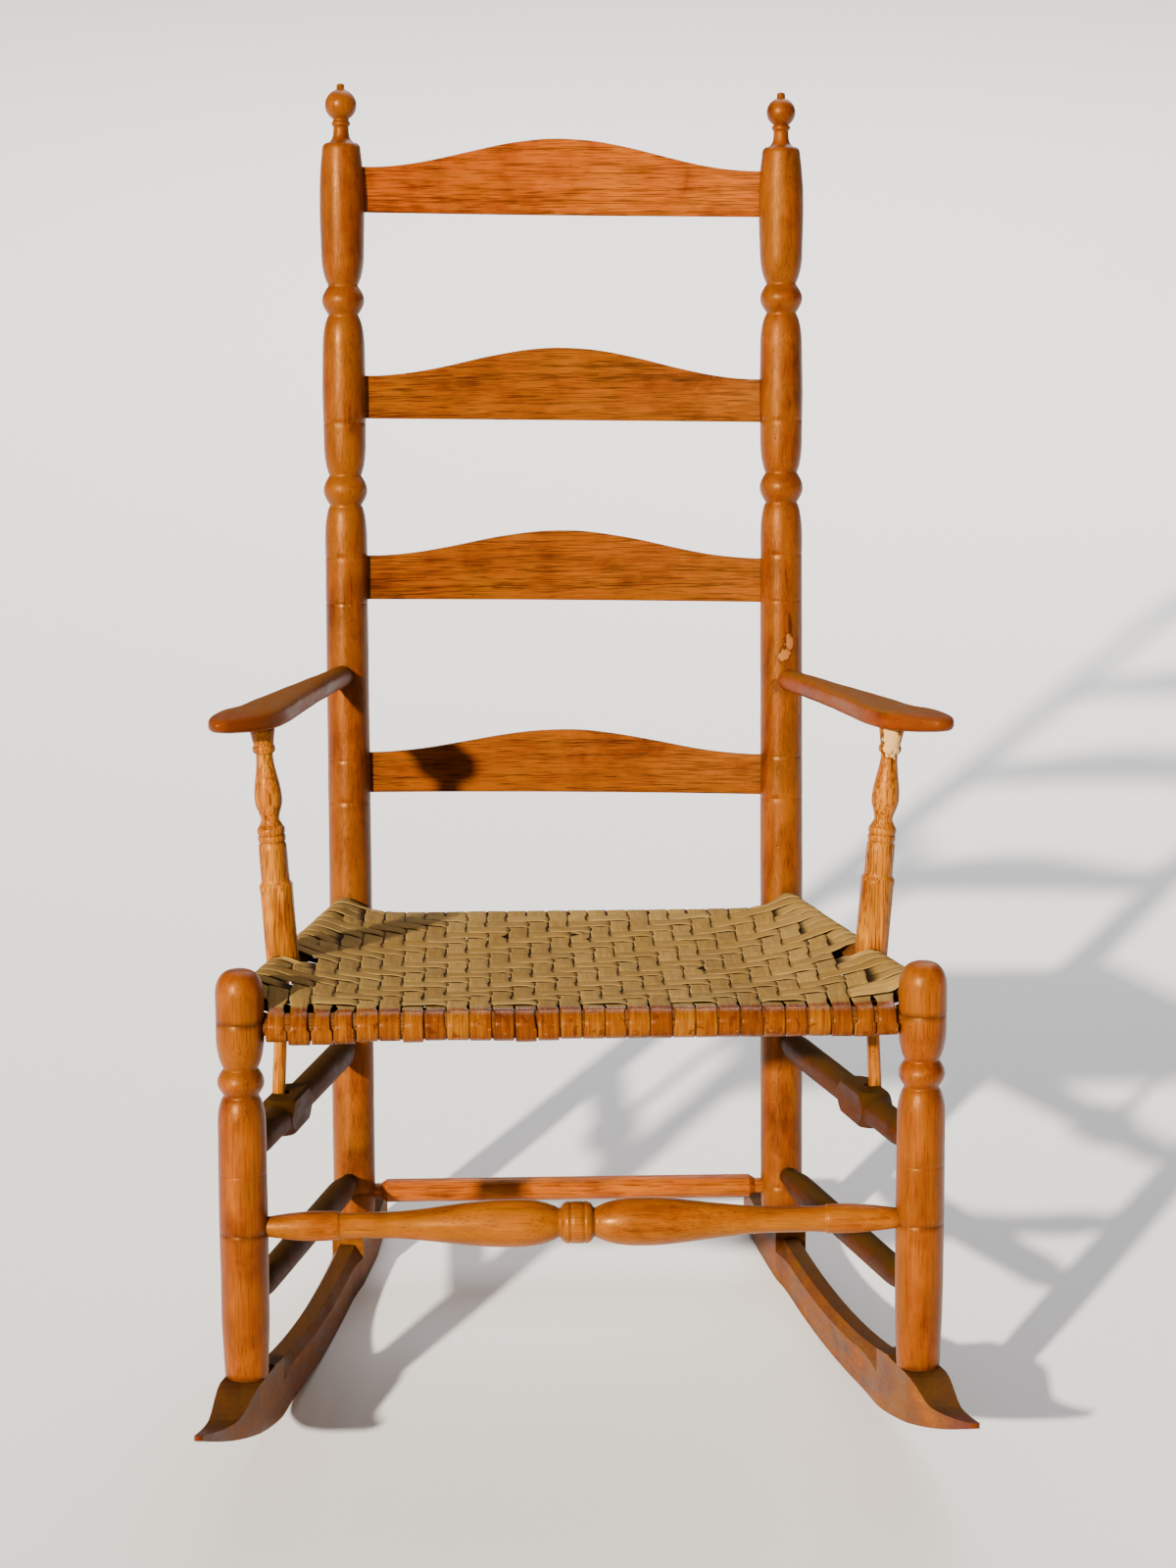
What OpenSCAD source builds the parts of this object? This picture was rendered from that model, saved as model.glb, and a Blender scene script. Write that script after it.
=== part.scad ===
// Slat-back rocking armchair: turned posts, bent slats, paddle arms, shaped rockers and a woven splint seat.
// It is drawn level, with the front posts upright and +Y to the back, then leans back to where it rests.

/* [Frame] */
// Distance between the centres of the front posts
front_w = 560; // [530:1:590]
// Distance between the centres of the rear posts
rear_w = 398; // [376:1:420]
// Distance from the front posts back to the rear posts, at the seat rails
seat_d = 387; // [365:1:410]
// Lean of the rear posts behind the upright, in degrees
rear_lean = 4; // [2:0.5:6]
// Height of the front and rear seat rails' centres
rail_z = 355; // [345:1:365]
// Height of the side seat rails above the front and rear ones
side_rail_up = 19; // [17:0.5:22]
// Lean of the whole chair back on its rockers when nobody sits in it, in degrees
rest_lean = 10.3; // [7:0.1:13]

/* [Front posts] */
// Largest diameter of a front post
front_d = 40.4; // [38:0.2:43]
// Height of the front posts' feet on the rockers
front_foot_z = 58; // [55:0.5:61]
// Height of the front posts' tops
front_top_z = 404; // [398:1:415]
// Height of the ring turned on a front post
front_ring_z = 310; // [300:1:318]

/* [Rear posts] */
// Diameter of a rear post
rear_d = 39.2; // [37:0.2:42]
// Height of the rear posts' feet on the rockers
rear_foot_z = 73; // [69:0.5:76]
// Height of the lower ring turned on a rear post
low_ring_z = 755; // [748:1:762]
// Height of the upper ring turned on a rear post
high_ring_z = 926; // [918:1:934]
// Height of the shoulder under the finial, on the left and the right post
shoulder_z = [1067, 1062]; // [1056:1:1075]
// Radius of the finial's ball, left and right
ball_r = [14.2, 13]; // [12:0.1:15]
// Height of the finial above the shoulder, left and right
finial_h = [53, 49]; // [46:1:56]

/* [Slats] */
// Height of each slat's lower edge, from the lowest slat up
slat_z = [476, 653, 817, 1002]; // [470:1:1010]
// Height of each slat at its middle
slat_mid_h = [58, 64, 66, 69]; // [50:1:72]
// Height of each slat at its ends
slat_end_h = [37, 40, 39, 41]; // [32:1:44]
// Thickness of a slat
slat_t = 6.5; // [5:0.5:8]
// Depth of the slats' backward bow
slat_bow = 14; // [8:1:20]
// Rise of each slat's left end and fall of its right end, as the mortises were cut by hand
slat_rise = 3; // [0:0.5:4]

/* [Rails and stretchers] */
// Diameter of a seat rail under the splint
rail_d = 23; // [21:0.5:25]
// Diameter of the round tenons on the rails, stretchers and arms
tenon_d = 14; // [12:0.5:15]
// Height of the front stretcher
front_stretcher_z = 186; // [180:0.5:194]
// Diameter of the front stretcher's end barrels, of its necks, of its two swellings and of its middle ring
stretcher_d = [24.8, 21, 39, 35]; // [18:0.2:41]
// Length of a barrel at each end of the front stretcher
barrel_l = 58; // [50:1:66]
// Distance from the front stretcher's middle ring to the widest part of each swelling
swell_at = 52.5; // [46:0.5:58]
// Length over which each swelling grows from the neck
swell_l = 40; // [34:1:60]
// Offset of the middle ring to the left
ring_left = 5; // [0:0.5:8]
// Height of the rear stretcher
rear_stretcher_z = 107; // [104:1:116]
// Diameter of the rear stretcher
rear_stretcher_d = 21.6; // [20:0.2:25]
// Height of the upper side stretchers
upper_stretcher_z = 247; // [238:1:256]
// Height of the lower side stretchers
lower_stretcher_z = 121; // [114:1:128]
// Diameter of a side stretcher
side_stretcher_d = 26; // [23:0.5:28]
// Thickness of the squared block on an upper side stretcher
block_w = 29; // [28:0.5:34]
// Length of that block
block_l = 66; // [58:1:74]

/* [Arms] */
// Height of the arms' joints with the rear posts, left and right
arm_back_z = [588, 581]; // [574:1:598]
// Height of the arms' centre line over their supports, left and right
arm_top_z = [590, 585]; // [578:1:600]
// Thickness of an arm over its support
arm_t = 18.5; // [17:0.5:22]
// Width of an arm at its hand
arm_w = 46; // [42:1:52]
// Distance of the arm supports behind the front posts
support_y = 143; // [130:1:160]
// Outward set of a support's top from its foot, left and right
support_splay = [14, 16]; // [10:1:22]
// Outward set of a support's pin from the side rail's centre line, left and right
support_out = [1.5, 4.5]; // [0:0.5:4.5]
// Diameter of a support's pin where it passes the seat rail
pin_d = 11.5; // [10:0.5:12]
// Diameter of a support's shaft
shaft_d = 24.2; // [22:0.2:26]
// Width across the corners of a support's eight-sided foot
foot_d = 30; // [28:0.5:32]
// Height of that foot
oct_h = 56; // [48:1:64]
// Reach of an arm's hand in front of its support
hand_reach = 66; // [56:1:74]
// Outward turn of an arm's hand, left and right
hand_out = [19, 23]; // [16:1:28]

/* [Rockers] */
// Radius of the rockers' running edge behind its lowest point
rocker_r = 1100; // [1000:10:1200]
// Radius of the running edge in front of that point, up to the toe
toe_r = 620; // [580:10:700]
// Distance of the lowest point behind the front posts, with the front posts upright
rocker_low_y = 105; // [95:1:115]
// Height of the lowest point over the level that all other heights are measured from
rocker_low_z = 2.5; // [0:0.5:5]
// Thickness of a rocker between its blocks
rocker_w = 24; // [22:0.5:28]
// Thickness of the block under a front post
front_block_w = 34; // [32:0.5:38]
// Thickness of the block under a rear post
rear_block_w = 31; // [30:0.5:36]
// Height of a rocker at its waist
waist_h = 39; // [34:0.5:44]
// Distance of the waist behind the front posts
waist_y = 150; // [130:5:170]
// Radius of the long hollow along a rocker's top
hollow_r = 850; // [780:10:950]
// Width and depth of the flats shaved off a rocker's upper corners
shave = [5, 8]; // [3:0.5:10]
// Reach of the left and right rocker's toe in front of the front posts
toe_reach = [143, 136]; // [120:1:150]
// Reach of a rocker's heel behind the rear posts' feet
heel_past = 88; // [76:1:100]
// Length of the flat worn on a rocker's running edge
worn_l = 52; // [40:1:70]
// Diameter of the round tenon under each post
foot_tenon_d = 20; // [17:0.5:22]
// Depth of that tenon in the rocker
foot_tenon_l = 20; // [16:1:24]

/* [Splint seat] */
// Number of front-to-back splints
warp_count = 28; // [24:2:30]
// Number of side-to-side splints that pass round the side rails
weft_count = 18; // [16:1:20]
// Gap between neighbouring splints
splint_gap = 1.6; // [1.2:0.1:2.4]
// Thickness of a splint
splint_t = 1; // [0.8:0.1:1.2]
// Sag of the seat at its middle
seat_sag = 7; // [4:0.5:7]
// Rise of the seat towards its sides
seat_lift = 6; // [3:0.5:6]

/* [Fits] */
// Clearance round a tenon, slat end or pin in its hole
fit = 0.1; // [0.05:0.05:0.2]
// Space past a tenon's end in its socket
end_gap = 0.5; // [0.3:0.1:1]
// Space between a splint and the rail that it passes round
splint_fit = 0.2; // [0.1:0.05:0.3]

/* [Hidden] */

LEFT = -1;
RIGHT = 1;
$fn = 64;
wide_fn = 720;
eps = 0.01;

front_r = front_d / 2;
rear_r = rear_d / 2;
rail_r = rail_d / 2;
tenon_r = tenon_d / 2;
side_rail_z = rail_z + side_rail_up;
function pick(pair, s) = s < 0 ? pair[0] : pair[1];
module flipped(s) {
    if (s < 0)
        mirror([1, 0, 0])
            children();
    else
        children();
}

// A tenon stops short of its post's centre line, so two tenons at one height never meet.
tenon_stop = tenon_r + 1;
honey = "#c8761f";
amber = "#b9661a";
ash = "#b4681f";
umber = "#8a5424";
tan_splint = "#b59b6a";

// Points on the posts' centre lines.
function front_at(s, z) = [s * front_w / 2, 0, z];
function rear_at(s, z) = [s * rear_w / 2, seat_d + (z - rail_z) * tan(rear_lean), z];
function side_at(s, y, z) = [s * side_x(y), y, z];
function side_x(y) = front_w / 2 - y * side_slope;
side_slope = (front_w - rear_w) / 2 / seat_d;
side_angle = atan(side_slope);

// Both ends of each stick, on the centre lines of the posts that it joins.
front_rail = [front_at(LEFT, rail_z), front_at(RIGHT, rail_z)];
rear_rail = [rear_at(LEFT, rail_z), rear_at(RIGHT, rail_z)];
front_stick = [front_at(LEFT, front_stretcher_z), front_at(RIGHT, front_stretcher_z)];
rear_stick = [rear_at(LEFT, rear_stretcher_z), rear_at(RIGHT, rear_stretcher_z)];
function side_stick(s, z) = [front_at(s, z), rear_at(s, z)];
side_heights = [side_rail_z, upper_stretcher_z, lower_stretcher_z];

// Puts children, drawn up from the origin, on the line from p to q.
module along(p, q) {
    d = q - p;
    translate(p)
        rotate([0, acos(d.z / norm(d)), atan2(d.y, d.x)])
            children();
}

// A socket for a tenon, in the post at p, open towards q.
module socket(p, q, post_r) {
    along(p, q)
        translate([0, 0, tenon_stop - end_gap])
            cylinder(r = tenon_r + fit, h = post_r * 1.3);
}

// Turned outlines are lists of [radius, height].
function ease(r0, z0, r1, z1, n = 6) =
    [for (k = [1:n]) [r0 + (r1 - r0) * (1 - cos(180 * k / n)) / 2, z0 + (z1 - z0) * k / n]];
function bead(z, core, r, half) =
    [for (a = [-90:18:90]) [core + (r - core) * cos(a), z + half * sin(a)]];
function dome(z, r, h) = [for (a = [0:10:90]) [r * cos(a), z + h * sin(a)]];

module turned(outline) {
    rotate_extrude()
        polygon(outline);
}

// Front posts: a plain shaft, a ring between two necks, and a domed barrel at the seat.
foot_ease = 2.2;
foot_flare_l = 46;
foot_full_l = 130;
ring_half = 8.5;
ring_r = 19.3;
neck_off = 12;
front_post_outline = concat(
    [
        [0, -foot_tenon_l],
        [foot_tenon_d / 2, -foot_tenon_l],
        [foot_tenon_d / 2, 0],
        [front_r - foot_ease, 0],
        [front_r - 0.3, foot_flare_l],
        [front_r, foot_full_l]
    ],
    [[front_r - 0.3, front_ring_z - front_foot_z - 36]],
    ease(front_r - 0.3, front_ring_z - front_foot_z - 36, 14.4, front_ring_z - front_foot_z - neck_off),
    bead(front_ring_z - front_foot_z, 14.6, ring_r, ring_half),
    [[13.6, front_ring_z - front_foot_z + neck_off]],
    ease(13.6, front_ring_z - front_foot_z + neck_off, front_r - 0.6, front_ring_z - front_foot_z + 40),
    dome(front_top_z - front_foot_z - 21, front_r - 0.3, 21)
);

module front_post(s) {
    color(honey)
        difference() {
            translate(front_at(s, front_foot_z))
                turned(front_post_outline);
            socket(front_at(s, rail_z), front_at(-s, rail_z), front_r);
            socket(front_at(s, front_stretcher_z), front_at(-s, front_stretcher_z), front_r);
            for (z = side_heights)
                socket(front_at(s, z), rear_at(s, z), front_r);
        }
}

// Rear posts: a long shaft with two rings, a swelled top and a ball finial.
function up_post(z) = (z - rear_foot_z) / cos(rear_lean);
low_ring = up_post(low_ring_z);
high_ring = up_post(high_ring_z);
post_end = up_post(max(shoulder_z)) + max(finial_h);
nib_h = 5.5;
function rear_post_outline(s) =
    let (
        shoulder = up_post(pick(shoulder_z, s)),
        ball = pick(ball_r, s),
        ball_at = shoulder + pick(finial_h, s) - ball - nib_h
    )
    concat(
    [
        [0, -foot_tenon_l],
        [foot_tenon_d / 2, -foot_tenon_l],
        [foot_tenon_d / 2, 0],
        [rear_r - 1.6, 0],
        [rear_r - 0.3, 40],
        [rear_r, 260],
        [rear_r - 0.4, low_ring - 46]
    ],
    ease(rear_r - 0.4, low_ring - 46, 15, low_ring - 15.5),
    bead(low_ring, 15, 19.8, 10.5),
    [[14.6, low_ring + 15.5]],
    ease(14.6, low_ring + 15.5, rear_r - 0.4, low_ring + 46),
    [[rear_r + 0.2, (low_ring + high_ring) / 2]],
    [[rear_r - 0.5, high_ring - 44]],
    ease(rear_r - 0.5, high_ring - 44, 13.6, high_ring - 15),
    bead(high_ring, 13.8, 19.2, 10),
    [[13.2, high_ring + 15]],
    ease(13.2, high_ring + 15, rear_r - 0.2, high_ring + 44),
    [[rear_r + 0.7, high_ring + 74], [rear_r + 0.3, high_ring + 100], [17.2, shoulder - 5]],
    [for (a = [30:30:90]) [15.2 + 2 * cos(a), shoulder - 5 + 5 * sin(a)]],
    [for (a = [10:20:90]) [14.6 - 8.2 * sin(a), shoulder + 11 * (1 - cos(a))]],
    [[6.2, shoulder + 13]],
    bead(shoulder + 17, 6.6, 8.6, 2.6),
    [for (a = [-62:15.5:77.5]) ball * [cos(a), sin(a)] + [0, ball_at]],
    [[2, ball_at + ball + 1], [1.6, ball_at + ball + nib_h - 1], [0, ball_at + ball + nib_h]]
);

// Puts children, drawn up a rear post from its foot, in that post's place.
module on_rear_post(s) {
    translate(rear_at(s, rear_foot_z))
        rotate([-rear_lean, 0, 0])
            children();
}

module rear_post(s) {
    color(honey)
        difference() {
            on_rear_post(s)
                turned(rear_post_outline(s));
            socket(rear_at(s, rail_z), rear_at(-s, rail_z), rear_r);
            socket(rear_at(s, rear_stretcher_z), rear_at(-s, rear_stretcher_z), rear_r);
            for (z = side_heights)
                socket(rear_at(s, z), front_at(s, z), rear_r);
            flipped(s)
                socket(arm_from(s), arm_to(s), rear_r);
            for (k = [0:3])
                slat_solid(k, fit);
        }
}

// Slats: a bowed board with a straight lower edge and a cupped arch on top, mortised into the posts.
slat_names = ["slat_bottom", "slat_lower_middle", "slat_upper_middle", "slat_top"];
slat_in = 3.5;
slat_half = rear_w / 2 - slat_in;
bow_r = (slat_half * slat_half + slat_bow * slat_bow) / (2 * slat_bow);
arch_half = rear_w / 2 - rear_r - 2;
function arch(x) = abs(x) > arch_half ? 0 : (1 + cos(180 * x / arch_half)) / 2;

slat_reach = 4 * slat_bow;
function slat_mid(k) = up_post(slat_z[k]) + slat_end_h[k] / 2;

// Drawn in the plane of the rear posts: X across, Y up the posts.
module slat_face(k, grow) {
    z0 = up_post(slat_z[k]);
    step = arch_half / 12;
    polygon(concat(
        [[slat_half + grow, z0 - grow], [-slat_half - grow, z0 - grow]],
        [[-slat_half - grow, z0 + slat_end_h[k] + grow]],
        [
            for (x = [-arch_half:step:arch_half])
                [x, z0 + slat_end_h[k] + grow + (slat_mid_h[k] - slat_end_h[k]) * arch(x)]
        ],
        [[slat_half + grow, z0 + slat_end_h[k] + grow]]
    ));
}

// The bent board that a slat is cut from, thickened on both faces by grow.
module bent_board(grow) {
    translate([0, slat_bow - bow_r, 0])
        difference() {
            cylinder(r = bow_r + slat_t / 2 + grow, h = post_end, $fn = wide_fn);
            translate([0, 0, -1])
                cylinder(r = bow_r - slat_t / 2 - grow, h = post_end + 2, $fn = wide_fn);
        }
}

module slat_solid(k, grow) {
    translate(rear_at(0, rear_foot_z))
        rotate([-rear_lean, 0, 0])
            intersection() {
                bent_board(grow);
                translate([0, slat_reach, 0])
                    rotate([90, 0, 0])
                        linear_extrude(height = 2 * slat_reach)
                            translate([0, slat_mid(k)])
                                rotate(-atan(2 * slat_rise / rear_w))
                                    translate([0, -slat_mid(k)])
                                        slat_face(k, grow);
            }
}

module slat(k) {
    color(ash)
        slat_solid(k, 0);
}

// Sticks: a straight body with an eased run down to the tenon at each end.
function stick_outline(len, r0, r1, body) = concat(
    [[0, tenon_stop], [tenon_r, tenon_stop], [tenon_r, r0 + 0.6]],
    body,
    [[tenon_r, len - r1 - 0.6], [tenon_r, len - tenon_stop], [0, len - tenon_stop]]
);
module stick(ends, outline) {
    along(ends[0], ends[1])
        turned(outline);
}

function reversed(list) = [for (k = [len(list) - 1:-1:0]) list[k]];
function even_body(len, r0, r1, r, run) = concat(
    [[tenon_r + 1, r0 + 0.6]],
    ease(tenon_r + 1, r0 + 0.6, r, r0 + run),
    reversed([for (p = ease(tenon_r + 1, 0.6, r, run)) [p.x, len - r1 - p.y]]),
    [[tenon_r + 1, len - r1 - 0.6]]
);

module plain_stick(ends, r0, r1, r, run) {
    len = norm(ends[1] - ends[0]);
    stick(ends, stick_outline(len, r0, r1, even_body(len, r0, r1, r, run)));
}

rail_run = 10;
module seat_rail_front() {
    color(amber)
        plain_stick(front_rail, front_r, front_r, rail_r, rail_run);
}

module seat_rail_rear() {
    color(amber)
        plain_stick(rear_rail, rear_r, rear_r, rail_r, rail_run);
}

module seat_rail_side(s) {
    color(amber)
        difference() {
            plain_stick(side_stick(s, side_rail_z), front_r, rear_r, rail_r, rail_run);
            support_pin(s, fit);
        }
}

// The rear stretcher is cut back to a narrow neck with a bevel at each end.
neck_l = 6;
bevel = [3.2, 5];
module rear_stretcher() {
    len = norm(rear_stick[1] - rear_stick[0]);
    from = rear_r + neck_l;
    r = rear_stretcher_d / 2;
    color(amber)
        stick(rear_stick, concat(
            [[0, tenon_stop], [tenon_r, tenon_stop], [tenon_r, from], [r - bevel[0], from], [r, from + bevel[1]]],
            [[r, len - from - bevel[1]], [r - bevel[0], len - from], [tenon_r, len - from]],
            [[tenon_r, len - tenon_stop], [0, len - tenon_stop]]
        ));
}

module side_stretcher_lower(s) {
    color(amber)
        plain_stick(side_stick(s, lower_stretcher_z), front_r, rear_r, side_stretcher_d / 2 - 1, 40);
}

// Upper side stretcher: a turned swelling, planed square where the arm support stands in it.
block_swell = 5;
module side_stretcher_upper(s) {
    ends = side_stick(s, upper_stretcher_z);
    len = norm(ends[1] - ends[0]);
    at = support_y / cos(side_angle);
    r = side_stretcher_d / 2;
    color(amber)
        difference() {
            union() {
                plain_stick(ends, front_r, rear_r, r, 34);
                intersection() {
                    along(ends[0], ends[1])
                        translate([0, 0, at])
                            turned(concat(
                                [[0, -block_l / 2 - 6]],
                                [[r, -block_l / 2 - 6]],
                                ease(r, -block_l / 2 - 6, block_w / 2 + block_swell, -block_l / 2 + 12),
                                ease(block_w / 2 + block_swell, block_l / 2 - 12, r, block_l / 2 + 6),
                                [[0, block_l / 2 + 6]]
                            ));
                    translate(side_at(s, support_y, upper_stretcher_z))
                        rotate([0, 0, s * side_angle])
                            cube([block_w, block_l * 2, block_w + 2], center = true);
                }
            }
            support_pin(s, fit);
        }
}

// Front stretcher: a barrel at each end, two swellings and a grooved ring between them.
barrel_end_r = 8.6;
groove = 0.9;
ring_at = 10.5;
function half_stretcher(mid) =
    let (
        r = stretcher_d / 2,
        from = front_r + 0.6,
        to = from + barrel_l
    )
    concat(
        [[tenon_r, from]],
        [
            for (a = [0:20:100])
                [barrel_end_r + (r[0] - barrel_end_r) * sin(a), from + barrel_l * 0.8 * a / 100]
        ],
        [[r[0] - 0.3, to - 2], [r[0] - 1.2, to], [r[0] - 1.2, to + 1.2], [r[1], to + ring_at]],
        ease(r[1], to + ring_at, (r[1] + r[2]) / 2, mid - swell_at - swell_l / 2, 3),
        ease((r[1] + r[2]) / 2, mid - swell_at - swell_l / 2, r[2], mid - swell_at, 4),
        ease(r[2], mid - swell_at, r[1] + 1.6, mid - ring_at - 7.5, 6),
        ease(r[1] + 1.6, mid - ring_at - 7.5, r[3] - groove, mid - ring_at, 3),
        [[r[3], mid - ring_at * 0.75], [r[3], mid - ring_at * 0.6]],
        [[r[3] - groove, mid - ring_at * 0.55], [r[3], mid - ring_at * 0.5]]
    );

module front_stretcher() {
    len = front_w;
    mid = len / 2;
    color(honey)
        stick(front_stick, concat(
            [[0, tenon_stop], [tenon_r, tenon_stop]],
            half_stretcher(mid - ring_left),
            reversed([for (p = half_stretcher(mid + ring_left)) [p.x, len - p.y]]),
            [[tenon_r, len - tenon_stop], [0, len - tenon_stop]]
        ));
}

// Arms: a round bar at the back that widens to a flat hand, turned outward at its end.
function support_foot(s) = side_at(s, support_y, side_rail_z) + [s * pick(support_out, s), 0, rail_r + 4];
// Both arms are drawn on the right, each with its own side's sizes.
function arm_from(s) = rear_at(RIGHT, pick(arm_back_z, s));
function arm_to(s) = [abs(support_foot(s).x) + pick(support_splay, s), support_y, pick(arm_top_z, s)];
// Each station: distance from the rear post, outward offset, width, thickness and squareness.
function arm_stations(l, out) = [
    [rear_r - 13, 0, 18, 18, 2.1],
    [rear_r + 1, 0, 20, 20, 2.1],
    [l * 0.3, 1.2, arm_w * 0.54, arm_t + 1.5, 2.4],
    [l * 0.55, 1.8, arm_w * 0.7, arm_t + 1, 3],
    [l * 0.8, 1, arm_w * 0.86, arm_t + 0.5, 4],
    [l, 1, arm_w * 0.98, arm_t, 4.4],
    [l + hand_reach * 0.38, out * 0.42, arm_w, arm_t - 0.5, 4],
    [l + hand_reach * 0.72, out * 0.78, arm_w * 0.74, arm_t - 2.5, 3.2],
    [l + hand_reach * 0.93, out * 0.95, arm_w * 0.42, arm_t - 6, 2.6],
    [l + hand_reach, out, arm_w * 0.12, 4, 2]
];
arm_steps = 3;
arm_sides = 24;

// A smooth curve through the stations, with u from 0 to the last station's number.
function spline(list, u) =
    let (
        k = min(floor(u), len(list) - 2),
        f = u - k,
        a = list[max(k - 1, 0)],
        b = list[k],
        c = list[k + 1],
        d = list[min(k + 2, len(list) - 1)]
    )
    0.5 * (2 * b + (c - a) * f + (2 * a - 5 * b + 4 * c - d) * f * f + (3 * b - a - 3 * c + d) * f * f * f);
function power(v, p) = v == 0 ? 0 : sign(v) * pow(abs(v), p);
function arm_ring(s, u) =
    let (
        from = arm_from(s),
        to = arm_to(s),
        l = norm(to - from),
        list = arm_stations(l, pick(hand_out, s)),
        way = (to - from) / l,
        out = [-way.y, way.x, 0],
        q = spline(list, u),
        ahead = spline(list, u + 0.02),
        behind = spline(list, u - 0.02),
        v = way * (ahead[0] - behind[0]) + out * (ahead[1] - behind[1]),
        n = [-v.y, v.x, 0] / norm([v.x, v.y])
    )
    [
        for (k = [0:arm_sides - 1])
            from + way * q[0] + out * q[1]
                + n * (q[2] / 2 * power(cos(360 * k / arm_sides), 2 / q[4]))
                + [0, 0, q[3] / 2 * power(sin(360 * k / arm_sides), 2 / q[4])]
    ];
last_station = 8;
arm_turns = concat([for (k = [0:last_station * arm_steps]) k / arm_steps + 0.02], [8.3, 8.6, 8.85]);

// A closed skin over rings of points, each ring going anticlockwise as seen along the way.
module skin(rings) {
    n = len(rings[0]);
    last = len(rings) - 1;
    points = [for (ring = rings, p = ring) p];
    polyhedron(points, concat(
        [for (r = [0:last - 1], k = [0:n - 1]) [r * n + k, (r + 1) * n + k, r * n + (k + 1) % n]],
        [
            for (r = [0:last - 1], k = [0:n - 1])
                [r * n + (k + 1) % n, (r + 1) * n + k, (r + 1) * n + (k + 1) % n]
        ],
        [for (k = [1:n - 2]) [0, k, k + 1]],
        [for (k = [1:n - 2]) [last * n, last * n + k + 1, last * n + k]]
    ));
}

module arm(s) {
    color(honey)
        flipped(s)
            difference() {
                union() {
                    // The arm's shoulder stands just off the post.
                    difference() {
                        skin([for (u = arm_turns) arm_ring(s, u)]);
                        on_rear_post(RIGHT)
                            cylinder(r = rear_r + 0.5, h = post_end);
                    }
                    along(arm_from(s), arm_to(s))
                        translate([0, 0, tenon_stop])
                            cylinder(r = tenon_r, h = rear_r + 14 - tenon_stop);
                }
                support_tenon(s, fit);
            }
}

// Arm supports: turned above the seat, eight-sided at its foot, with a pin down to the stretcher.
top_tenon_r = 6;
top_tenon_l = 11;
top_gap = 0.3;
pin_end_z = upper_stretcher_z - 4;
function right_foot(s) = [abs(support_foot(s).x), support_y, support_foot(s).z];
function support_len(s) = norm(arm_to(s) - right_foot(s)) - arm_t / 2 - top_gap;
// Heights below a support's top: its two beads, and the start and the widest part of its vase.
support_beads = 99;
vase_from = 80;
vase_at = 62;
vase_end = 23;
vase_d = 23.4;
vase_neck_d = 15.6;
function support_outline(len) =
    let (shaft = shaft_d / 2, vase = vase_d / 2, neck = vase_neck_d / 2)
    concat(
        [[0, oct_h - 2], [shaft, oct_h - 2], [shaft, oct_h + 20], [shaft - 0.3, len - support_beads]],
        bead(len - support_beads + 3.5, shaft - 1.2, shaft - 0.3, 2.8),
        bead(len - support_beads + 10, shaft - 1.4, shaft - 0.4, 3.2),
        [[neck, len - vase_from]],
        ease(neck, len - vase_from, vase, len - vase_at, 5),
        ease(vase, len - vase_at, neck - 0.6, len - vase_end, 7),
        bead(len - vase_end + 4.5, neck + 0.8, neck + 2, 3),
        [[neck + 0.8, len - vase_end + 8.5], [neck + 1.4, len - vase_end + 12], [neck + 3.2, len]],
        [[top_tenon_r, len], [top_tenon_r, len + top_tenon_l], [0, len + top_tenon_l]]
    );

// Puts children, drawn up a right-hand support from its foot, in that support's place.
module on_support(s) {
    along(right_foot(s), arm_to(s))
        children();
}

module support_pin(s, grow) {
    gap = grow > 0 ? end_gap : 0;
    translate([support_foot(s).x, support_y, pin_end_z - gap])
        cylinder(r = pin_d / 2 + grow, h = support_foot(s).z - pin_end_z + gap + 6);
}

module support_tenon(s, grow) {
    on_support(s)
        translate([0, 0, support_len(s) - 5])
            cylinder(r = top_tenon_r + grow, h = top_tenon_l + 5 + (grow > 0 ? end_gap : 0));
}

module arm_support(s) {
    color(ash) {
        flipped(s)
            on_support(s) {
                turned(support_outline(support_len(s)));
                rotate([0, 0, 22.5])
                    cylinder(r = foot_d / 2, h = oct_h, $fn = 8);
            }
        support_pin(s, 0);
    }
}

// Rockers: both running edges lie on the same two cylinders across the chair, so they roll alike.
function drop(r, y) = r - sqrt(r * r - (y - rocker_low_y) * (y - rocker_low_y));
function run_z(y) = rocker_low_z + drop(y < rocker_low_y ? toe_r : rocker_r, y);
rear_foot_y = rear_at(RIGHT, rear_foot_z).y;
heel_reach = rear_foot_y + heel_past;
rocker_slope = (front_w - rear_w) / 2 / rear_foot_y;
rocker_angle = atan(rocker_slope);
function rocker_x(y) = front_w / 2 - rocker_slope * y;
pad = 24;
toe_root = -20;
toe_dip = 14;
toe_tip_h = 4;
toe_tip_r = 3;
past = 5;
below = -20;
blank_spare = 100;
blank_h = rear_foot_z + blank_spare;
under_floor = 50;
shave_from = 58;
shave_to = rear_foot_y - 28;
function smooth(t) = t <= 0 ? 0 : t >= 1 ? 1 : (1 - cos(180 * t)) / 2;
// The top of a toe that reaches out to y = -reach, where t runs from 0 at its root to 1 at its tip.
function toe_top(t, reach) =
    let (rise = run_z(-reach) + toe_tip_h - (front_foot_z - toe_dip))
    front_foot_z - toe_dip * smooth(t / 0.45) + rise * pow(max(0, (t - 0.35) / 0.65), 1.6);

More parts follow.
